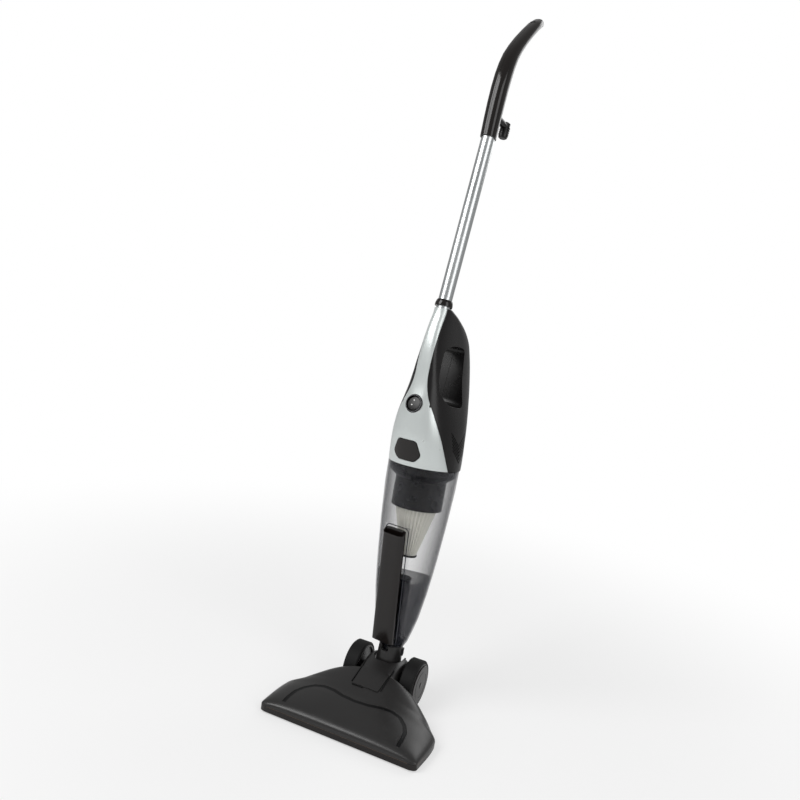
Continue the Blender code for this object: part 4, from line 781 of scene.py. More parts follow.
def build_neck(lean, body):
    """The elbow tilts on the pivot pins; the socket swivels on the elbow's stem."""
    barrel = rod(BARREL_RADIUS, -BARREL_HALF, BARREL_HALF, ROUND, 0.0012)
    elbow = add_object("neck_elbow", barrel, lean, rotation=(0, 90, 0))
    stem = stack([(STEM_RADIUS * 0.6, -0.001), (STEM_RADIUS, 0.004), (STEM_RADIUS, STEM_TOP)])
    cut(elbow, "elbow_stem", stem, lean, operation="UNION")
    cut(elbow, "elbow_bore", rod(NECK_BORE, -0.005, STEM_TOP + 0.01, 16), lean)
    cut(elbow, "elbow_front", rod(NECK_BORE, 0.0, 0.04, 16), lean, rotation=(90 - REST_LEAN, 0, 0))
    for side, name in reversed(SIDES):
        pocket = rod(PIN_RADIUS + GAP, BARREL_HALF - 0.0034, BARREL_HALF + 0.01, 12)
        cut(elbow, f"elbow_pin_{name}", pocket, lean, rotation=(0, 90 * side, 0))
    lip_low = STEM_TOP + GAP
    lip_high = SPIGOT_BOTTOM - GAP
    bore = STEM_RADIUS + FIT
    throat = SPIGOT_RADIUS + FIT
    socket = add_object("neck_socket", turned([
        (bore, SOCKET_BOTTOM), (SOCKET_RADIUS - 0.001, SOCKET_BOTTOM),
        (SOCKET_RADIUS, SOCKET_BOTTOM + 0.0015),
        (SOCKET_RADIUS - 0.0008, SOCKET_BOTTOM + 0.012), (SOCKET_RADIUS - 0.0015, SOCKET_TOP - 0.0015),
        (SOCKET_RADIUS - 0.0028, SOCKET_TOP), (throat, SOCKET_TOP), (throat, lip_high),
        (NECK_BORE, lip_high), (NECK_BORE, lip_low), (bore, lip_low),
    ]), body)
    slot = block(-RELEASE_HALF - GAP, RELEASE_HALF + GAP, 0.0, 0.04, RELEASE_LOW - GAP, RELEASE_HIGH + GAP)
    cut(socket, "release_slot", slot, body, rotation=(0, 0, RELEASE_ANGLE))
    low, high = RELEASE_HIGH - 0.004, SOCKET_TOP + 0.01
    corners = [(-NOTCH_HALF, low), (NOTCH_HALF, low), (NOTCH_HALF, high), (-NOTCH_HALF, high)]
    notch = prism(rounded(corners, NOTCH_ROUNDING), -0.03, 0.0, "Y")
    cut(socket, "front_notch", notch, body)
    depth_in = SPIGOT_RADIUS + FIT + 0.0018
    depth_out = SOCKET_RADIUS + 0.0012
    ribs = [(depth_in, RELEASE_LOW), (depth_in, RELEASE_HIGH), (depth_out - 0.0004, RELEASE_HIGH)]
    pitch = (RELEASE_HIGH - RELEASE_LOW - 0.0010) / RELEASE_RIBS
    valley = depth_out - 0.0005
    for k in range(RELEASE_RIBS):
        top = RELEASE_HIGH - 0.0005 - k * pitch
        ribs += [(depth_out, top), (depth_out, top - pitch * 0.5)]
        ribs += [(valley, top - pitch * 0.6), (valley, top - pitch * 0.9)]
    ribs.append((valley, RELEASE_LOW))
    button = prism(ribs, -RELEASE_HALF, RELEASE_HALF, "X")
    add_object("neck_release_button", button, body, rotation=(0, 0, RELEASE_ANGLE))


# ---------------------------------------------------------------- dust cup

# Outer radius of the cup along its height, above the shoulder on the neck
CUP_CURVE = [
    (SOCKET_TOP + 0.0005, 0.0205), (0.060, 0.0248), (0.080, 0.0305), (0.100, 0.0353), (0.140, 0.0416),
    (0.200, 0.0480), (0.260, 0.0528), (0.310, 0.0558), (CUP_TOP, CUP_RADIUS),
]


def cup_radius(z):
    return between(CUP_CURVE, z)


def tool_back(z):
    return TOOL_BACK_LOW + (z - TOOL_BOTTOM) * TOOL_BACK_SLOPE


def tool_front(z):
    return TOOL_FRONT_LOW + (z - TOOL_BOTTOM) * TOOL_FRONT_SLOPE


def cup_ring(radius, z, inset):
    """A cup section; its front is flattened where the crevice tool lies against it."""
    points = circle(radius, z, CUP_STEPS)
    if z <= TOOL_TOP + 0.004:
        flat = tool_back(z) - TOOL_REST - inset
        points = [Vector((p.x, max(p.y, -flat), p.z)) for p in points]
    return points


def dust_cup(body):
    heights = [z for z, _ in CUP_CURVE[1:]]
    heights += [TOOL_BOTTOM - 0.002, 0.170, TOOL_TOP + 0.0038, TOOL_TOP + 0.0052]
    heights = sorted(set(heights))
    outer = [circle(SPIGOT_RADIUS, z, CUP_STEPS) for z in (SPIGOT_BOTTOM, SOCKET_TOP + GAP)]
    outer += [cup_ring(cup_radius(z), z, 0.0) for z in [SOCKET_TOP + 0.0005] + heights]
    inside = [z for z in reversed(heights) if z not in (0.080, 0.310)]
    inner = [cup_ring(cup_radius(z) - CUP_WALL, z, CUP_WALL) for z in inside]
    inner += [circle(cup_radius(CUP_FLOOR) - CUP_WALL, CUP_FLOOR, CUP_STEPS)]
    inner += [circle(NECK_BORE + 0.002, z, CUP_STEPS) for z in (CUP_FLOOR, SPIGOT_BOTTOM)]
    add_object("dust_cup", loft(outer + inner, closed=True), body)


def inlet_tube(body):
    """The riser in the middle of the cup that lets dust in above the floor of the cup."""
    low = CUP_FLOOR + GAP
    foot = cup_radius(low + 0.0015) - CUP_WALL - 0.0015
    profile = [
        (NECK_BORE + 0.003, low), (foot, low), (foot, low + 0.0012), (INLET_RADIUS, low + 0.0030),
        (INLET_RADIUS - 0.0006, INLET_TOP), (INLET_RADIUS - 0.0022, INLET_TOP),
        (INLET_RADIUS - 0.0016, low + 0.004), (NECK_BORE + 0.003, low + 0.0025),
    ]
    add_object("inlet_tube", turned(profile), body)
    flap = rod(INLET_RADIUS - 0.0004, INLET_TOP + GAP, INLET_TOP + 0.0014, 64)
    add_object("inlet_flap", flap, body)


def filter_holder(body):
    top = CUP_TOP - 0.0008
    lip = FILTER_TOP_RADIUS - FILTER_TAPER + 0.0004
    rim = CUP_RADIUS - CUP_WALL - 0.0015
    profile = [
        (lip, HOLDER_BOTTOM), (HOLDER_RADIUS, HOLDER_BOTTOM), (HOLDER_RADIUS, top - 0.021),
        (rim - 0.0015, top - 0.012), (rim, top - 0.009), (rim, top), (rim - 0.002, top),
        (rim - 0.002, top - 0.008), (HOLDER_RADIUS - 0.002, top - 0.019),
        (HOLDER_RADIUS - 0.002, HOLDER_BOTTOM + 0.0025), (lip, HOLDER_BOTTOM + 0.0025),
    ]
    add_object("filter_holder", turned(profile), body)
    seal = [(rim - 0.005, top + GAP), (rim, top + GAP), (rim, CUP_TOP + GAP), (rim - 0.005, CUP_TOP + GAP)]
    add_object("cup_seal", turned(seal), body)


def pleated_filter(body):
    top = HOLDER_BOTTOM + FILTER_LIFT
    low = HOLDER_BOTTOM - FILTER_LENGTH
    span = top - low

    def star(radius, z):
        turn = math.pi / PLEATS
        depth = PLEAT_DEPTH * radius / FILTER_TOP_RADIUS
        points = []
        for i in range(2 * PLEATS):
            reach = radius - depth * (i % 2)
            points.append(Vector((reach * math.cos(i * turn), reach * math.sin(i * turn), z)))
        return points

    outer_top = FILTER_TOP_RADIUS - FILTER_TAPER
    growth = outer_top - FILTER_END_RADIUS
    outer = [star(FILTER_END_RADIUS + growth * k / 4, low + span * k / 4) for k in range(5)]
    inner = [star(FILTER_END_RADIUS - FILTER_WALL, low), star(outer_top - FILTER_WALL, top)]
    add_object("pleated_filter", loft(outer + inner[::-1], closed=True), body, sharp=20)
    disc = rod(FILTER_END_RADIUS + 0.0012, low - 0.0030, low - GAP, 64, 0.0006)
    add_object("filter_end_disc", disc, body)
    cap = turned([
        (0.012, top + GAP), (outer_top + 0.0008, top + GAP),
        (outer_top + 0.0008, top + 0.0018), (0.012, top + 0.0018),
    ], COARSE)
    add_object("filter_collar", cap, body)


def crevice_tool(body):
    """A flat tapering nozzle stored in front of the cup, open at both ends, with its mouth cut at a slant."""
    def ring(z, inset, drop=0.0):
        front, back = -tool_front(z) + inset, -tool_back(z) - inset
        middle, half = (front + back) / 2, (back - front) / 2
        out = []
        for turn in full_turn(96, 0.5):
            x = (TOOL_HALF - inset) * power(math.cos(turn), 0.45)
            y = middle + half * power(math.sin(turn), 0.6)
            out.append(Vector((x, y, z - drop * (back - y) / (back - front))))
        return out

    stations = [TOOL_BOTTOM, TOOL_BOTTOM + 0.004, 0.120, 0.185, TOOL_TOP - TOOL_MOUTH_DROP - 0.004]
    outer = [ring(z, 0.0) for z in stations] + [ring(TOOL_TOP, 0.0, TOOL_MOUTH_DROP)]
    inner = [ring(z, TOOL_WALL) for z in stations] + [ring(TOOL_TOP, TOOL_WALL, TOOL_MOUTH_DROP)]
    add_object("crevice_tool", loft(outer + inner[::-1], closed=True), body)


# ---------------------------------------------------------------- hand unit

# Sections of the hand unit in metres: height, front, back, half width, place of the widest point, squareness
UNIT_SECTIONS = [
    (CUP_TOP + UNIT_LENGTH * share, *(CUP_RADIUS * value for value in values), square)
    for share, *values, square in UNIT_SHAPE
]
UNIT_SECTIONS[0] = (CUP_TOP + 3 * GAP, *UNIT_SECTIONS[0][1:])
NOZZLE_REAR = TUBE_BACK + NOZZLE_RADIUS + NOZZLE_HEEL
UNIT_SECTIONS.append(
    (UNIT_TOP, TUBE_BACK - NOZZLE_RADIUS, NOZZLE_REAR, NOZZLE_RADIUS, TUBE_BACK, NOZZLE_SQUARENESS)
)
COVER_EDGE = [(CUP_TOP + UNIT_LENGTH * share, CUP_RADIUS * half) for share, half in COVER_SHAPE]
WINDOW_CORNERS = [(CUP_RADIUS * back, CUP_TOP + UNIT_LENGTH * share) for back, share in WINDOW_SHAPE]
GRIP_SECTIONS = [
    (TUBE_VISIBLE + GRIP_LENGTH * share, *(TUBE_RADIUS * value for value in values))
    for share, *values in GRIP_SHAPE
]


def unit_ring(section, inset):
    z, front, back, half, widest, front_power = section
    front, back, half = front + inset, back - inset, half - inset
    out = []
    for turn in full_turn(120):
        ahead, across = math.cos(turn), math.sin(turn)
        exponent = 2 / (front_power if ahead > 0 else BACK_SQUARENESS)
        reach = (front if ahead > 0 else back) - widest
        out.append(Vector((half * power(across, exponent), widest + reach * abs(ahead) ** exponent, z)))
    return out


def section_at(z):
    return (z, *(column_at(UNIT_SECTIONS, z, k) for k in range(1, 6)))


GLAND_PLACE = (0, section_at(GLAND_Z)[2], GLAND_Z)
SWITCH_PLACE = (0, section_at(SWITCH_Z)[1] + 0.0002, SWITCH_Z)


def unit_loft(inset=0.0, low=CUP_TOP + 3 * GAP, high=UNIT_TOP):
    """The hand unit's outer form, drawn in by a wall, between two heights."""
    start = UNIT_SECTIONS[0][0]
    count = OUTER_ROWS if inset <= 0 else INNER_ROWS
    inside = [low + (high - low) * k / count for k in range(1, count)]
    rings = [unit_ring((low, *section_at(start)[1:]), inset)]
    rings += [unit_ring(section_at(z), inset) for z in inside if z > start]
    rings.append(unit_ring((high, *section_at(high)[1:]), inset))
    return loft(rings)


def window_prism(grow):
    """The hand opening as a bar across the unit, its outline moved out by a wall."""
    outline = rounded(WINDOW_CORNERS, WINDOW_ROUNDING, 8)
    middle = sum((Vector(point) for point in outline), Vector((0.0, 0.0))) / len(outline)
    grown = []
    for i, point in enumerate(outline):
        ahead = Vector(outline[(i + 1) % len(outline)]) - Vector(outline[i - 1])
        side = Vector((-ahead.y, ahead.x)).normalized()
        here = Vector(point)
        side = side if side.dot(here - middle) > 0 else -side
        grown.append(tuple(here + side * grow))
    return prism(grown, -2 * CUP_RADIUS, 2 * CUP_RADIUS, "X")


def cover_prism(grow):
    outline = mirrored([(between(COVER_EDGE, z) + grow, z) for z in cover_heights()])
    return prism(outline, -2 * CUP_RADIUS, grow, "Y")


def cover_depth(grow):
    """The cover's reach backwards seen from the side: deep below the hand opening, a thin strip beside it."""
    strip = [(section_at(z)[1] + STRIP_DEPTH + grow, z) for z in cover_heights() if z > STRIP_START + 0.004]
    ahead, low, high = -2 * CUP_RADIUS, CUP_TOP - CUP_RADIUS, UNIT_TOP + CUP_RADIUS
    outline = [(ahead, low), (grow, low), (grow, STRIP_START + grow), *strip]
    outline += [(strip[-1][0], high), (ahead, high)]
    return prism(outline, ahead, -ahead, "X")


def cover_heights():
    first, last = COVER_EDGE[0][0], COVER_EDGE[-1][0]
    return [first + (last - first) * i / OUTER_ROWS for i in range(OUTER_ROWS + 1)]


def button_outline(grow):
    half, low, high = BUTTON_HALF + grow, BUTTON_BOTTOM - grow, BUTTON_TOP + grow
    foot, head, wide = half * BUTTON_FOOT, half * BUTTON_HEAD, low + (high - low) * BUTTON_WIDEST
    corners = [(-foot, low), (foot, low), (half, wide), (head, high), (-head, high), (-half, wide)]
    return rounded(corners, BUTTON_ROUNDING)


def side_block(side, name, y, top, frame_of_cut):
    """A cutter that takes the other side's half away, a thin gap past the middle."""
    away = sorted((-side * 2 * CUP_RADIUS, side * GAP / 2))
    return add_cutter(name, block(*away, -y, y, 0.0, top), frame_of_cut)


def hand_shells(body, tube_frame):
    """The silver front cover and the two black rear shells, cut from one outer form."""
    window = add_cutter("hand_window", window_prism(0.0), body)
    cavity = add_cutter("unit_cavity", unit_loft(SHELL_WALL, UNIT_SECTIONS[0][0] - 0.01, CAVITY_TOP), body)
    cut(cavity, "window_walls", window_prism(SHELL_WALL), body)
    bore = add_cutter("unit_tube_bore", rod(TUBE_RADIUS + GAP, -TUBE_INSERT - 0.0006, 0.03), tube_frame)
    front = add_cutter("cover_region", cover_prism(0.0), body)
    cut(front, "cover_depth", cover_depth(0.0), body, operation="INTERSECT")
    front_grown = add_cutter("cover_region_grown", cover_prism(GAP), body)
    cut(front_grown, "cover_depth_grown", cover_depth(GAP), body, operation="INTERSECT")
    switch = add_cutter("switch_hole", rod(SWITCH_RADIUS + GAP, -0.012, 0.02), SWITCH_FRAME)
    button_room = prism(button_outline(2 * GAP), -2 * CUP_RADIUS, -CUP_RADIUS / 2, "Y")
    button = add_cutter("button_hole", button_room, body)
    gland_hole = rod(GLAND_RADIUS + GAP, -0.02, 0.02, 64)
    gland = add_cutter("gland_hole", gland_hole, body, GLAND_PLACE, (-90, 0, 0))
    cover = add_object("front_cover", unit_loft(), body)
    for cutter in (cavity, window, bore, switch, button):
        boolean(cover, cutter)
    boolean(cover, front, "INTERSECT")
    for side, name in SIDES:
        shell = add_object(f"rear_shell_{name}", unit_loft(), body)
        half = side_block(side, f"half_{name}", 2 * CUP_RADIUS, 2 * UNIT_TOP, body)
        vents = add_cutter(f"vents_{name}", vent_slots(side), body)
        for cutter in (cavity, window, bore, front_grown, half, vents, gland):
            boolean(shell, cutter)


def vent_slots(side):
    """Nested V slots through the side of the rear shell."""
    joined = bmesh.new()
    reach = sorted((side * CUP_RADIUS / 2, side * 2 * CUP_RADIUS))
    for k in range(VENT_COUNT):
        low = VENT_LOW + k * VENT_PITCH
        middle = VENT_BACK - k * VENT_SHIFT
        front, back, high = middle - VENT_HALF, middle + VENT_HALF, low + VENT_RISE
        upper = high + VENT_THICKNESS
        outline = [
            (front, high), (middle, low), (back, high),
            (back, upper), (middle, low + VENT_THICKNESS * VENT_POINT), (front, upper),
        ]
        part = prism(outline, *reach, "X")
        spare = bpy.data.meshes.new("vent")
        part.to_mesh(spare)
        part.free()
        joined.from_mesh(spare)
        bpy.data.meshes.remove(spare)
    return joined


def hand_controls(body):
    bezel = [
        (ROCKER_RADIUS + 0.0010, -0.0070), (SWITCH_RADIUS, -0.0070), (SWITCH_RADIUS, 0.0008),
        (SWITCH_RADIUS - 0.0006, 0.0014), (ROCKER_RADIUS + 0.0014, 0.0014), (ROCKER_RADIUS + 0.0010, 0.0010),
    ]
    add_object("switch_bezel", turned(bezel), SWITCH_FRAME)
    rocker = [
        (ROCKER_RADIUS - 0.0006, -0.0045), (ROCKER_RADIUS, -0.0035), (ROCKER_RADIUS, 0.0),
        (ROCKER_RADIUS - 0.0012, 0.0012), (ROCKER_RADIUS * 0.5, 0.0017),
    ]
    add_object("rocker_switch", stack(rocker), SWITCH_FRAME, ROCKER_PLACE, (-ROCKER_TILT, 0, 0))
    button = add_object("cup_release_button", unit_loft(-0.0010), body)
    outline = prism(button_outline(0.0), -2 * CUP_RADIUS, BUTTON_INNER - CUP_RADIUS, "Y")
    cut(button, "button_shape", outline, body, operation="INTERSECT")
    gland = [
        (GLAND_BORE, -0.0080), (GLAND_RADIUS, -0.0080), (GLAND_RADIUS, 0.0030),
        (GLAND_RADIUS - 0.0008, 0.0100), (GLAND_BORE, 0.0100),
    ]
    add_object("cord_gland", turned(gland), body, GLAND_PLACE, (-90, 0, 0))


# ---------------------------------------------------------------- tube and grip

def grip_loft(inset, first, last):
    rows = GRIP_SECTIONS
    rings = []
    for k in range(first, last + 1):
        t, s, depth, half = rows[k]
        before, after = rows[max(k - 1, 0)], rows[min(k + 1, len(rows) - 1)]
        run = Vector((0.0, after[1] - before[1], after[0] - before[0])).normalized()
        if k == 0:
            run = Vector((0, 0, 1))
        back = Vector((0.0, run.z, -run.y))
        rings.append([
            Vector((0, s, t))
            + Vector((1, 0, 0)) * (half - inset) * power(math.sin(turn), 0.85)
            - back * (depth - inset) * power(math.cos(turn), 0.85)
            for turn in full_turn(72, 0.5)
        ])
    return loft(rings)


def tube_and_grip(tube_frame):
    inner, top = TUBE_RADIUS - TUBE_WALL, TUBE_VISIBLE + GRIP_INSERT
    tube = [(inner, -TUBE_INSERT), (TUBE_RADIUS, -TUBE_INSERT), (TUBE_RADIUS, top), (inner, top)]
    add_object("extension_tube", turned(tube), tube_frame)
    low = -0.0028
    bore = TUBE_RADIUS + GAP
    collar = turned([
        (bore, low), (COLLAR_RADIUS - 0.0002, low), (COLLAR_RADIUS, low + 0.0030),
        (COLLAR_RADIUS - 0.0008, low + 0.0070), (COLLAR_RADIUS - 0.0020, low + COLLAR_HEIGHT),
        (bore, low + COLLAR_HEIGHT),
    ])
    add_object("collar_ring", collar, tube_frame)
    last = len(GRIP_SECTIONS) - 1
    pin_hole = rod(HOOK_PIN + GAP, 0.0, 0.03, 12)
    cutters = [
        add_cutter("grip_cavity", grip_loft(GRIP_WALL, 2, last - 2), tube_frame),
        add_cutter("grip_bore", rod(bore, TUBE_VISIBLE - GRIP_INSERT, top + 0.001), tube_frame),
        add_cutter("grip_pin_hole", pin_hole, tube_frame, (0, 0, HOOK_T), (-90, 0, 0)),
    ]
    for side, name in SIDES:
        half = add_object(f"top_grip_{name}", grip_loft(0.0, 0, last), tube_frame)
        away = side_block(side, f"grip_half_{name}", GRIP_LENGTH, TUBE_VISIBLE + 2 * GRIP_LENGTH, tube_frame)
        for cutter in (*cutters, away):
            boolean(half, cutter)


def cord_hook(tube_frame):
    """A stem behind the grip with a down-turned knob, turning about the stem's pin."""
    axis = frame_empty("hook_frame", (0, 0, HOOK_T), (-90, 0, 0), tube_frame)
    hook = add_object("cord_hook", rod(HOOK_STEM, HOOK_START, HOOK_REACH, 64, 0.0008), axis)
    knob = [
        (HOOK_KNOB - 0.003, -0.0070), (HOOK_KNOB - 0.0008, -0.0055), (HOOK_KNOB - 0.001, 0.004),
        (HOOK_KNOB, HOOK_DROP - 0.006), (HOOK_KNOB - 0.001, HOOK_DROP - 0.0015),
        (HOOK_KNOB - 0.003, HOOK_DROP),
    ]
    cut(hook, "hook_knob", stack(knob, 64), axis, (0, 0, HOOK_KNOB_AT), (-90, 0, 0), "UNION")
    cut(hook, "hook_pin_hole", rod(HOOK_PIN + GAP, 0.0, HOOK_START + 0.014, 12), axis)
    add_object("hook_pin", rod(HOOK_PIN, 0.0010, HOOK_START + 0.0135, 12, 0.0004), axis)


# ---------------------------------------------------------------- small pieces that the solids leave out, and painted shade and highlights

RAIL_RADIUS = 0.0008
RAIL_CORNER = 0.0070
LINER_LOW = 0.0600
LINER_TOP = 0.1630
LINER_WAVE = 0.0030
LINER_PHASE = 0.8
LINER_GAP = 0.0006
LINER_WALL = 0.0010
MARK_RADIUS = 0.0011
MARK_PLACES = ((-0.0010, 0.0048), (-0.0025, -0.0028))
SLOT_LENGTH = 0.0045
SLOT_WIDTH = 0.0013
SLOT_ROW = 10
HOOK_RIBS = 4
GROOVE_RADIUS = 0.0009
SEAM_RADIUS = 0.00035


def sweep(path, radius, steps=10):
    """A thin round rail through a row of points."""
    rings = []
    for i, point in enumerate(path):
        ahead = (path[min(i + 1, len(path) - 1)] - path[max(i - 1, 0)]).normalized()
        side = ahead.cross(Vector((0, 1, 0))).normalized()
        up = ahead.cross(side)
        rings.append([point + (side * math.cos(t) + up * math.sin(t)) * radius for t in full_turn(steps)])
    return loft(rings)


def tool_rail(body):
    """The raised U-shaped rim on the cup's front that frames the crevice tool."""
    half, low, top = TOOL_HALF + 0.0018, TOOL_BOTTOM + 0.002, TOOL_TOP + 0.0032
    inner, bend = half - RAIL_CORNER, top - RAIL_CORNER
    right = [(half, low + (bend - low) * k / 12) for k in range(12)]
    for k in range(9):
        turn = math.pi / 2 * k / 8
        right.append((inner + RAIL_CORNER * math.cos(turn), bend + RAIL_CORNER * math.sin(turn)))
    path = [Vector((x, TOOL_REST - tool_back(z), z)) for x, z in mirrored(right)]
    add_detail("tool_rail", sweep(path, RAIL_RADIUS), RAIL, "dust_cup", body)


def cup_liner(body):
    """The darker lower chamber seen through the cup, with its waved top edge."""
    def ring(share, inset):
        points = []
        for turn in full_turn(CUP_STEPS):
            crest = LINER_TOP + LINER_WAVE * math.sin(2 * turn + LINER_PHASE)
            z = LINER_LOW + (crest - LINER_LOW) * share
            radius = cup_radius(z) - CUP_WALL - inset
            flat = tool_back(z) - TOOL_REST - CUP_WALL - inset
            points.append(Vector((radius * math.cos(turn), max(radius * math.sin(turn), -flat), z)))
        return points

    outer = [ring(k / 12, LINER_GAP) for k in range(13)]
    inner = [ring(k / 12, LINER_GAP + LINER_WALL) for k in reversed(range(13))]
    add_detail("cup_liner", loft(outer + inner, closed=True), DEEP_SMOKE, "dust_cup", body)


def switch_details():
    for number, place in enumerate(MARK_PLACES, 1):
        mark = stack([(MARK_RADIUS, 0.0013), (MARK_RADIUS, 0.0019)], 24, place)
        tilt = (-ROCKER_TILT, 0, 0)
        add_detail(f"switch_mark_{number}", mark, MARK, "rocker_switch", SWITCH_FRAME, ROCKER_PLACE, tilt)
    rim = SWITCH_RADIUS - 0.0013
    ring = [(rim - 0.0006, 0.0012), (rim + 0.0006, 0.0012), (rim + 0.0004, 0.0018), (rim - 0.0004, 0.0018)]
    add_detail("switch_ring", turned(ring), BEZEL_RIM, "switch_bezel", SWITCH_FRAME)


def grip_slot_shade(tube_frame):
    """The short slot on the grip's lit end face, drawn as a thin near-black piece of painted shade on the
    surface.
    """
    t, s, depth, _ = GRIP_SECTIONS[SLOT_ROW]
    before, after = GRIP_SECTIONS[SLOT_ROW - 1], GRIP_SECTIONS[SLOT_ROW + 1]
    run = Vector((after[1] - before[1], after[0] - before[0])).normalized()
    outline = [
        (SLOT_LENGTH * power(math.cos(turn), 0.7), SLOT_WIDTH * power(math.sin(turn), 0.7))
        for turn in full_turn(24)
    ]
    place = (0, s - run.y * depth, t + run.x * depth)
    turned_by = (math.degrees(math.atan2(run.y, run.x)), 0, 0)
    slot = prism(outline, -0.0010, 0.0002)
    add_detail("grip_slot_shade", slot, PAINTED_SHADE, "top_grip_right", tube_frame, place, turned_by)


def hook_ribs(tube_frame):
    reach = HOOK_KNOB + 0.0002
    for k in range(HOOK_RIBS):
        low = 0.0010 + 0.0036 * k
        ring = turned([
            (reach - 0.0016, low), (reach - 0.0002, low), (reach, low + 0.0006),
            (reach - 0.0002, low + 0.0012), (reach - 0.0016, low + 0.0012),
        ], 64)
        place = (0, HOOK_KNOB_AT, HOOK_T)
        satin = SURFACES["satin_black"]
        add_detail(f"hook_rib_{k + 1}", ring, satin, "cord_hook", tube_frame, place, (-180, 0, 0))


def wheel_details():
    """A moulded ring and a centre boss on each wheel cap, and the web inside each hub."""
    reach = (WHEEL_RADIUS - TYRE_THICKNESS) * CAP_RING_SHARE
    moulding = [
        (reach - 0.0011, -0.0010), (reach + 0.0011, -0.0010), (reach + 0.0007, 0.0002),
        (reach, 0.0005), (reach - 0.0007, 0.0002),
    ]
    bore, rim = HUB_BORE + 0.0044, WHEEL_RADIUS - TYRE_THICKNESS - 0.0024
    web = [(bore, 0.0), (rim, 0.0), (rim, 0.0014), (bore, 0.0014)]
    boss = [(0.0052, -0.0010), (0.0050, 0.0004), (0.0040, 0.0009)]
    for side, name in SIDES:
        for piece, bm, across, finish, like in (
            ("cap_ring", turned(moulding), WHEEL_OUTER - 0.0003, "gloss_black", "wheel_cap"),
            ("hub_web", turned(web), WHEEL_INNER + 0.0035, "satin_black", "wheel_hub"),
            ("cap_boss", stack(boss, 48), WHEEL_OUTER - 0.0003, "gloss_black", "wheel_cap"),
        ):
            place = (side * across, 0, WHEEL_RADIUS)
            add_detail(
                f"{piece}_{name}", bm, SURFACES[finish], f"{like}_{name}", None, place, (0, 90 * side, 0)
            )


def head_details():
    """Painted shade in the grooves beside the centre panel and in its short front slot, and a bright painted
    highlight line along the seam over the skirt.
    """
    def on_cover(x, y):
        return Vector((x, y, cover_height(x, y) + 0.0006))

    edge = PANEL_HALF + 0.0006
    # Painted shade: near-black rails laid on the cover along the panel's sides and across its front
    for side, name in SIDES:
        run = [on_cover(side * edge, PANEL_FRONT + 0.004 + 0.044 * k / 14) for k in range(15)]
        add_detail(f"painted_groove_shade_{name}", sweep(run, GROOVE_RADIUS), PAINTED_SHADE, "head_cover")
    across = [on_cover(-edge + 0.003 + 0.018 * k / 8, PANEL_FRONT - 0.0006) for k in range(9)]
    add_detail("painted_slot_shade", sweep(across, 1.5 * GROOVE_RADIUS), PAINTED_SHADE, "head_cover")
    # Painted highlight: a bright warm rail along the seam round the skirt's front and sides
    ends = [(head_half_width(y), y) for y in (-0.100, -0.130, -0.150, HEAD_FRONT + 0.007, HEAD_FRONT + 0.004)]
    corner = ends[-1][0]
    front = [(corner - corner * 2 * k / 20, HEAD_FRONT + 0.0001) for k in range(1, 20)]
    path = [Vector((x, y, SEAM)) for x, y in ends + front + [(-x, y) for x, y in reversed(ends)]]
    add_detail("skirt_seam_highlight", sweep(path, SEAM_RADIUS, 8), PAINTED_SEAM_HIGHLIGHT, "head_base")


# ---------------------------------------------------------------- pieces into the frame

def settle(name, form, finish, like, replace=False):
    """The finished mesh of a form, in the row frame, riding where a CAD node rides."""
    graph = bpy.context.evaluated_depsgraph_get()
    mesh = bpy.data.meshes.new_from_object(form.evaluated_get(graph))
    mesh.transform(form.matrix_world)
    mesh.shade_smooth()
    mesh.set_sharp_from_angle(angle=math.radians(form["sharp"]))
    mesh.materials.clear()
    mesh.materials.append(finish)
    piece = bpy.data.objects.new(name, mesh)
    bpy.context.scene.collection.objects.link(piece)
    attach(piece, NODES[like]["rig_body"])
    if replace:
        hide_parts(like)


# ---------------------------------------------------------------- materials

PATCH_SCALE = 18.0
GRAIN_DEPTH = 0.0002
RIM_BLEND = 0.35


def add_node(tree, kind, **inputs):
    """A shader node with some of its inputs set; an underscore stands for a space in a name."""
    node = tree.nodes.new("ShaderNode" + kind)
    for name, value in inputs.items():
        node.inputs[name.replace("_", " ")].default_value = value
    return node


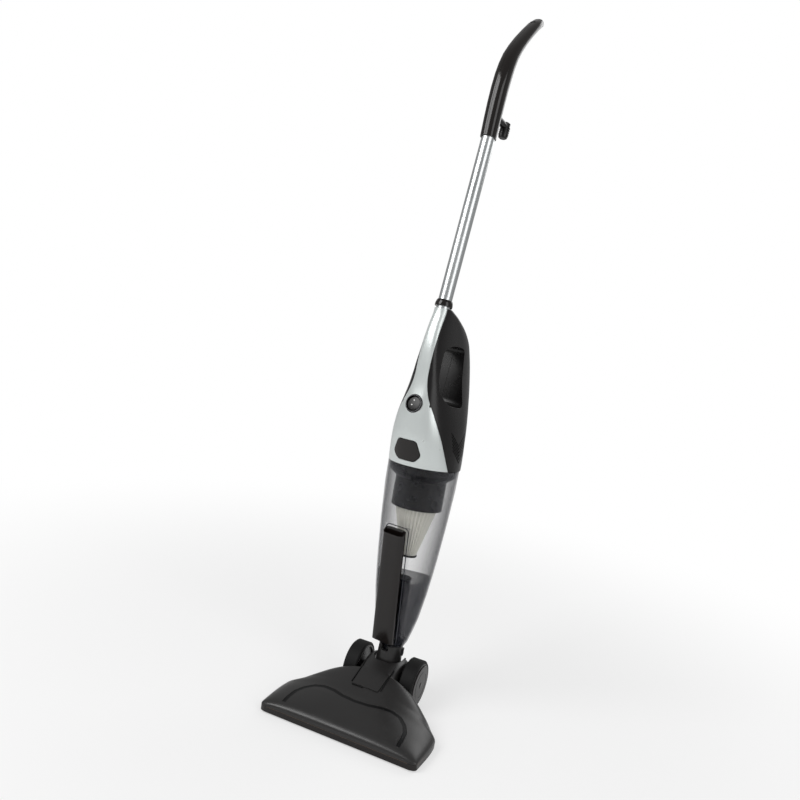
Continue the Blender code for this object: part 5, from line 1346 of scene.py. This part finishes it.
def surface(name, colour, roughness, metallic=0.0, specular=0.5, spread=0.12, grain=0.0, grain_scale=900.0,
            stretch=(1.0, 1.0, 1.0), rough_spread=0.06, bevel=0.0004, aniso=0.0, alpha=None):
    """Patchy tint and roughness, rounded edges and fine grain; alpha runs from the face on to the rim."""
    made = bpy.data.materials.new(name)
    made.use_nodes = True
    tree = made.node_tree
    link = tree.links.new
    shader = tree.nodes["Principled BSDF"]
    for socket, value in (("Metallic", metallic), ("Specular IOR Level", specular), ("Anisotropic", aniso)):
        shader.inputs[socket].default_value = value
    scale = add_node(tree, "Mapping", Scale=stretch)
    link(add_node(tree, "TexCoord").outputs["Object"], scale.inputs["Vector"])

    def noise(size, detail):
        texture = add_node(tree, "TexNoise", Scale=size, Detail=detail)
        link(scale.outputs["Vector"], texture.inputs["Vector"])
        return texture.outputs["Fac"]

    def through(source, node, socket, result, target):
        link(source, node.inputs[socket])
        link(node.outputs[result], target)

    tint = add_node(tree, "Mix")
    tint.data_type = "RGBA"
    tint.inputs["A"].default_value = (*(c * (1 - spread) for c in colour), 1.0)
    tint.inputs["B"].default_value = (*(min(1.0, c * (1 + spread)) for c in colour), 1.0)
    through(noise(PATCH_SCALE, 3.0), tint, "Factor", "Result", shader.inputs["Base Color"])
    lowest, highest = max(0.02, roughness - rough_spread), min(1.0, roughness + rough_spread)
    rough = add_node(tree, "MapRange", To_Min=lowest, To_Max=highest)
    through(noise(PATCH_SCALE * 3.0, 4.0), rough, "Value", "Result", shader.inputs["Roughness"])
    edge = None
    if bevel:
        edge = add_node(tree, "Bevel", Radius=bevel)
        edge.samples = 4
        link(edge.outputs["Normal"], shader.inputs["Normal"])
    if grain:
        bump = add_node(tree, "Bump", Strength=grain, Distance=GRAIN_DEPTH)
        through(noise(grain_scale, 5.0), bump, "Height", "Normal", shader.inputs["Normal"])
        if edge:
            link(edge.outputs["Normal"], bump.inputs["Normal"])
    if alpha:
        facing = add_node(tree, "LayerWeight", Blend=RIM_BLEND)
        clear = add_node(tree, "MapRange", To_Min=alpha[0], To_Max=alpha[1])
        through(facing.outputs["Facing"], clear, "Value", "Result", shader.inputs["Alpha"])
    return made


SURFACES = {
    "satin_black": surface("moulded_black", (0.0065, 0.0058, 0.0060), 0.28, specular=0.34, grain=0.03),
    "dark_grey_plastic": surface(
        "textured_dark_grey", (0.0175, 0.0168, 0.0166), 0.33, specular=0.50, grain=0.22, grain_scale=1400.0
    ),
    # Polished black plastic; its warm brown tint is painted reflection of brown surroundings on the skirt,
    # wheel caps and grips
    "gloss_black": surface(
        "polished_black_painted_reflection", (0.0066, 0.0046, 0.0040), 0.12, specular=0.42, grain=0.03, grain_scale=160.0,
        rough_spread=0.03,
    ),
    "silver_plastic": surface(
        "silver_paint", (0.66, 0.70, 0.69), 0.30, metallic=0.40, grain=0.06, grain_scale=2600.0, spread=0.03,
        bevel=0.0006,
    ),
    "smoky_clear": surface(
        "smoky_clear", (0.030, 0.032, 0.042), 0.07, specular=0.9, bevel=0.0, rough_spread=0.03,
        alpha=(0.06, 0.80),
    ),
    "brushed_metal": surface(
        "brushed_metal", (0.56, 0.58, 0.585), 0.26, metallic=1.0, grain=0.18, grain_scale=500.0,
        stretch=(1.0, 1.0, 0.02), spread=0.04, aniso=0.5,
    ),
    "steel": surface("machined_steel", (0.48, 0.48, 0.49), 0.32, metallic=1.0, grain=0.1, spread=0.05),
    "dark_iron": surface(
        "laminated_iron", (0.16, 0.12, 0.10), 0.5, metallic=0.8, grain=0.4, stretch=(0.05, 0.05, 1.0)
    ),
    "black_rubber": surface(
        "black_rubber", (0.007, 0.007, 0.007), 0.62, specular=0.20, grain=0.35, grain_scale=700.0
    ),
    "white_filter": surface(
        "pleated_paper", (0.90, 0.89, 0.82), 0.85, specular=0.2, grain=0.3, grain_scale=1800.0, spread=0.05,
        bevel=0.0,
    ),
    "black_bristle": surface("black_bristle", (0.012, 0.012, 0.012), 0.5, grain=0.1, bevel=0.0),
}
RAIL = surface("smoky_rail", (0.030, 0.032, 0.040), 0.12, specular=0.6, bevel=0.0)
DEEP_SMOKE = surface("deep_smoke", (0.020, 0.019, 0.028), 0.10, specular=0.7, bevel=0.0, alpha=(0.45, 0.92))
# Painted highlight: a warm light colour for the light caught along the skirt's seam
PAINTED_SEAM_HIGHLIGHT = surface("painted_seam_highlight", (0.060, 0.038, 0.026), 0.3, specular=0.4, bevel=0.0)
BEZEL_RIM = surface("bezel_rim", (0.13, 0.13, 0.14), 0.25, metallic=0.5, bevel=0.0)
MARK = surface("white_mark", (0.80, 0.80, 0.78), 0.5, spread=0.04, bevel=0.0)
# Painted shade: near-black for the shade inside grooves and slots that are laid on the surface, not cut into
# it
PAINTED_SHADE = surface("painted_recess_shade", (0.003, 0.003, 0.003), 0.6, specular=0.2, bevel=0.0)
OWN_SURFACE = {
    "head_trim_band": surface("band_black", (0.0022, 0.0022, 0.0026), 0.30, specular=0.25, grain=0.03),
}


# ---------------------------------------------------------------- assembly

LEAN_FRAME = frame_empty("lean_frame", (0, PIVOT_Y, PIVOT_Z), (-REST_LEAN, 0, 0))
BODY_FRAME = frame_empty("body_frame", (0, 0, 0), (0, 0, REST_SWIVEL), LEAN_FRAME)
TUBE_FRAME = frame_empty("tube_frame", (0, TUBE_BACK, TUBE_FOOT), (-TUBE_LEAN, 0, 0), BODY_FRAME)
SWITCH_FRAME = frame_empty("switch_frame", SWITCH_PLACE, (SWITCH_LEAN, 0, 0), BODY_FRAME)

build_head()
for wheel_side, wheel_name in SIDES:
    build_wheel(wheel_side, wheel_name)
build_neck(LEAN_FRAME, BODY_FRAME)
dust_cup(BODY_FRAME)
inlet_tube(BODY_FRAME)
filter_holder(BODY_FRAME)
pleated_filter(BODY_FRAME)
crevice_tool(BODY_FRAME)
hand_shells(BODY_FRAME, TUBE_FRAME)
hand_controls(BODY_FRAME)
tube_and_grip(TUBE_FRAME)
cord_hook(TUBE_FRAME)
head_details()
tool_rail(BODY_FRAME)
cup_liner(BODY_FRAME)
switch_details()
grip_slot_shade(TUBE_FRAME)
hook_ribs(TUBE_FRAME)
wheel_details()

bpy.context.view_layer.update()
for made_name, made_form in MADE.items():
    own = OWN_SURFACE.get(made_name, SURFACES[SLOT_OF[made_name]])
    settle(made_name + "_piece", made_form, own, made_name, replace=True)
for detail in DETAILS:
    settle(*detail)
for spare in (*MADE.values(), *CUTTERS, *(row[1] for row in DETAILS), *FRAMES):
    bpy.data.objects.remove(spare)
for node_name, node_object in NODES.items():
    if node_name not in MADE:
        node_object.data.materials.clear()
        node_object.data.materials.append(SURFACES[SLOT_OF[node_name]])


# ---------------------------------------------------------------- stage, light and camera

def seen_only(tree):
    """1 for what the camera or a clear surface sees, 0 for light on the object."""
    path = add_node(tree, "LightPath")
    most = add_node(tree, "Math")
    most.operation = "MAXIMUM"
    for k, ray in enumerate(("Is Camera Ray", "Is Transmission Ray")):
        tree.links.new(path.outputs[ray], most.inputs[k])
    return most.outputs[0]


def mixed(tree, factor, first, second, target):
    mix = add_node(tree, "MixShader")
    tree.links.new(factor, mix.inputs["Fac"])
    tree.links.new(first, mix.inputs[1])
    tree.links.new(second, mix.inputs[2])
    tree.links.new(mix.outputs["Shader"], target.inputs["Surface"])


def white_world():
    world = bpy.data.worlds.new("studio")
    bpy.context.scene.world = world
    world.use_nodes = True
    tree = world.node_tree
    light = tree.nodes["Background"]
    light.inputs["Color"].default_value = (1.0, 1.0, 1.0, 1.0)
    light.inputs["Strength"].default_value = WORLD_LEVEL
    white = add_node(tree, "Background", Color=(1.0, 1.0, 1.0, 1.0), Strength=1.0)
    mixed(tree, seen_only(tree), light.outputs[0], white.outputs[0], tree.nodes["World Output"])


def pale_floor():
    """A floor that is white to the camera far away and partly so close by, where it keeps the shadow."""
    bm = bmesh.new()
    corners = ((-1, -1), (1, -1), (1, 1), (-1, 1))
    bm.faces.new([bm.verts.new((x * FLOOR_HALF, y * FLOOR_HALF, FLOOR_Z)) for x, y in corners])
    mesh = bpy.data.meshes.new("floor")
    bm.to_mesh(mesh)
    bm.free()
    floor = bpy.data.objects.new("floor", mesh)
    bpy.context.scene.collection.objects.link(floor)
    made = bpy.data.materials.new("pale_floor")
    made.use_nodes = True
    tree = made.node_tree
    matte = tree.nodes["Principled BSDF"]
    matte.inputs["Base Color"].default_value = (0.92, 0.92, 0.92, 1.0)
    matte.inputs["Roughness"].default_value = 0.9
    matte.inputs["Specular IOR Level"].default_value = 0.0
    white = add_node(tree, "Emission", Strength=1.0)
    reach = add_node(tree, "VectorMath")
    reach.operation = "LENGTH"
    tree.links.new(add_node(tree, "NewGeometry").outputs["Position"], reach.inputs[0])
    fade = add_node(tree, "MapRange", From_Min=FLOOR_NEAR, From_Max=FLOOR_FAR, To_Min=FLOOR_SHARE)
    fade.interpolation_type = "SMOOTHSTEP"
    tree.links.new(reach.outputs["Value"], fade.inputs["Value"])
    share = add_node(tree, "Math")
    share.operation = "MULTIPLY"
    tree.links.new(fade.outputs["Result"], share.inputs[0])
    tree.links.new(seen_only(tree), share.inputs[1])
    mixed(tree, share.outputs[0], matte.outputs[0], white.outputs[0], tree.nodes["Material Output"])
    mesh.materials.append(made)


def soft_box(name, place, target_height, size, watts):
    """A soft lamp aimed at a height on the object's axis."""
    lamp = bpy.data.lights.new(name, "AREA")
    lamp.shape = "RECTANGLE"
    lamp.size, lamp.size_y = size
    lamp.energy = watts
    made = bpy.data.objects.new(name, lamp)
    bpy.context.scene.collection.objects.link(made)
    made.location = place
    aim = Vector((0.0, 0.0, target_height)) - Vector(place)
    made.rotation_euler = aim.to_track_quat("-Z", "Y").to_euler()


WORLD_LEVEL = 0.38
FLOOR_HALF = 8
FLOOR_Z = -0.0002
FLOOR_NEAR = 0.35
FLOOR_FAR = 1.30
FLOOR_SHARE = 0.55
CAMERA_RIGHT = (0.90305, 0.40334, 0.14771)
CAMERA_UP = (-0.19122, 0.06957, 0.97908)
CAMERA_BACK = (0.38462, -0.91240, 0.13996)
CAMERA_PLACE = (0.43009, -1.12822, 0.64757)
CAMERA_LENS = 36
CAMERA_SENSOR = 36

white_world()
pale_floor()
soft_box("key_light", (-1.3, -1.6, 2.1), 0.5, (1.4, 1.4), 34)
soft_box("fill_light", (1.9, -0.9, 1.4), 0.5, (1.2, 1.8), 14)
soft_box("rear_light", (0.6, 2.0, 1.8), 0.6, (1.4, 1.4), 12)

camera_data = bpy.data.cameras.new("camera")
camera_data.lens = CAMERA_LENS
camera_data.sensor_width = CAMERA_SENSOR
camera = bpy.data.objects.new("camera", camera_data)
bpy.context.scene.collection.objects.link(camera)
facing = Matrix((CAMERA_RIGHT, CAMERA_UP, CAMERA_BACK)).transposed().to_4x4()
facing.translation = Vector(CAMERA_PLACE)
camera.matrix_world = facing
bpy.context.scene.camera = camera
bpy.context.scene.view_settings.view_transform = "Standard"

bpy.context.view_layer.update()
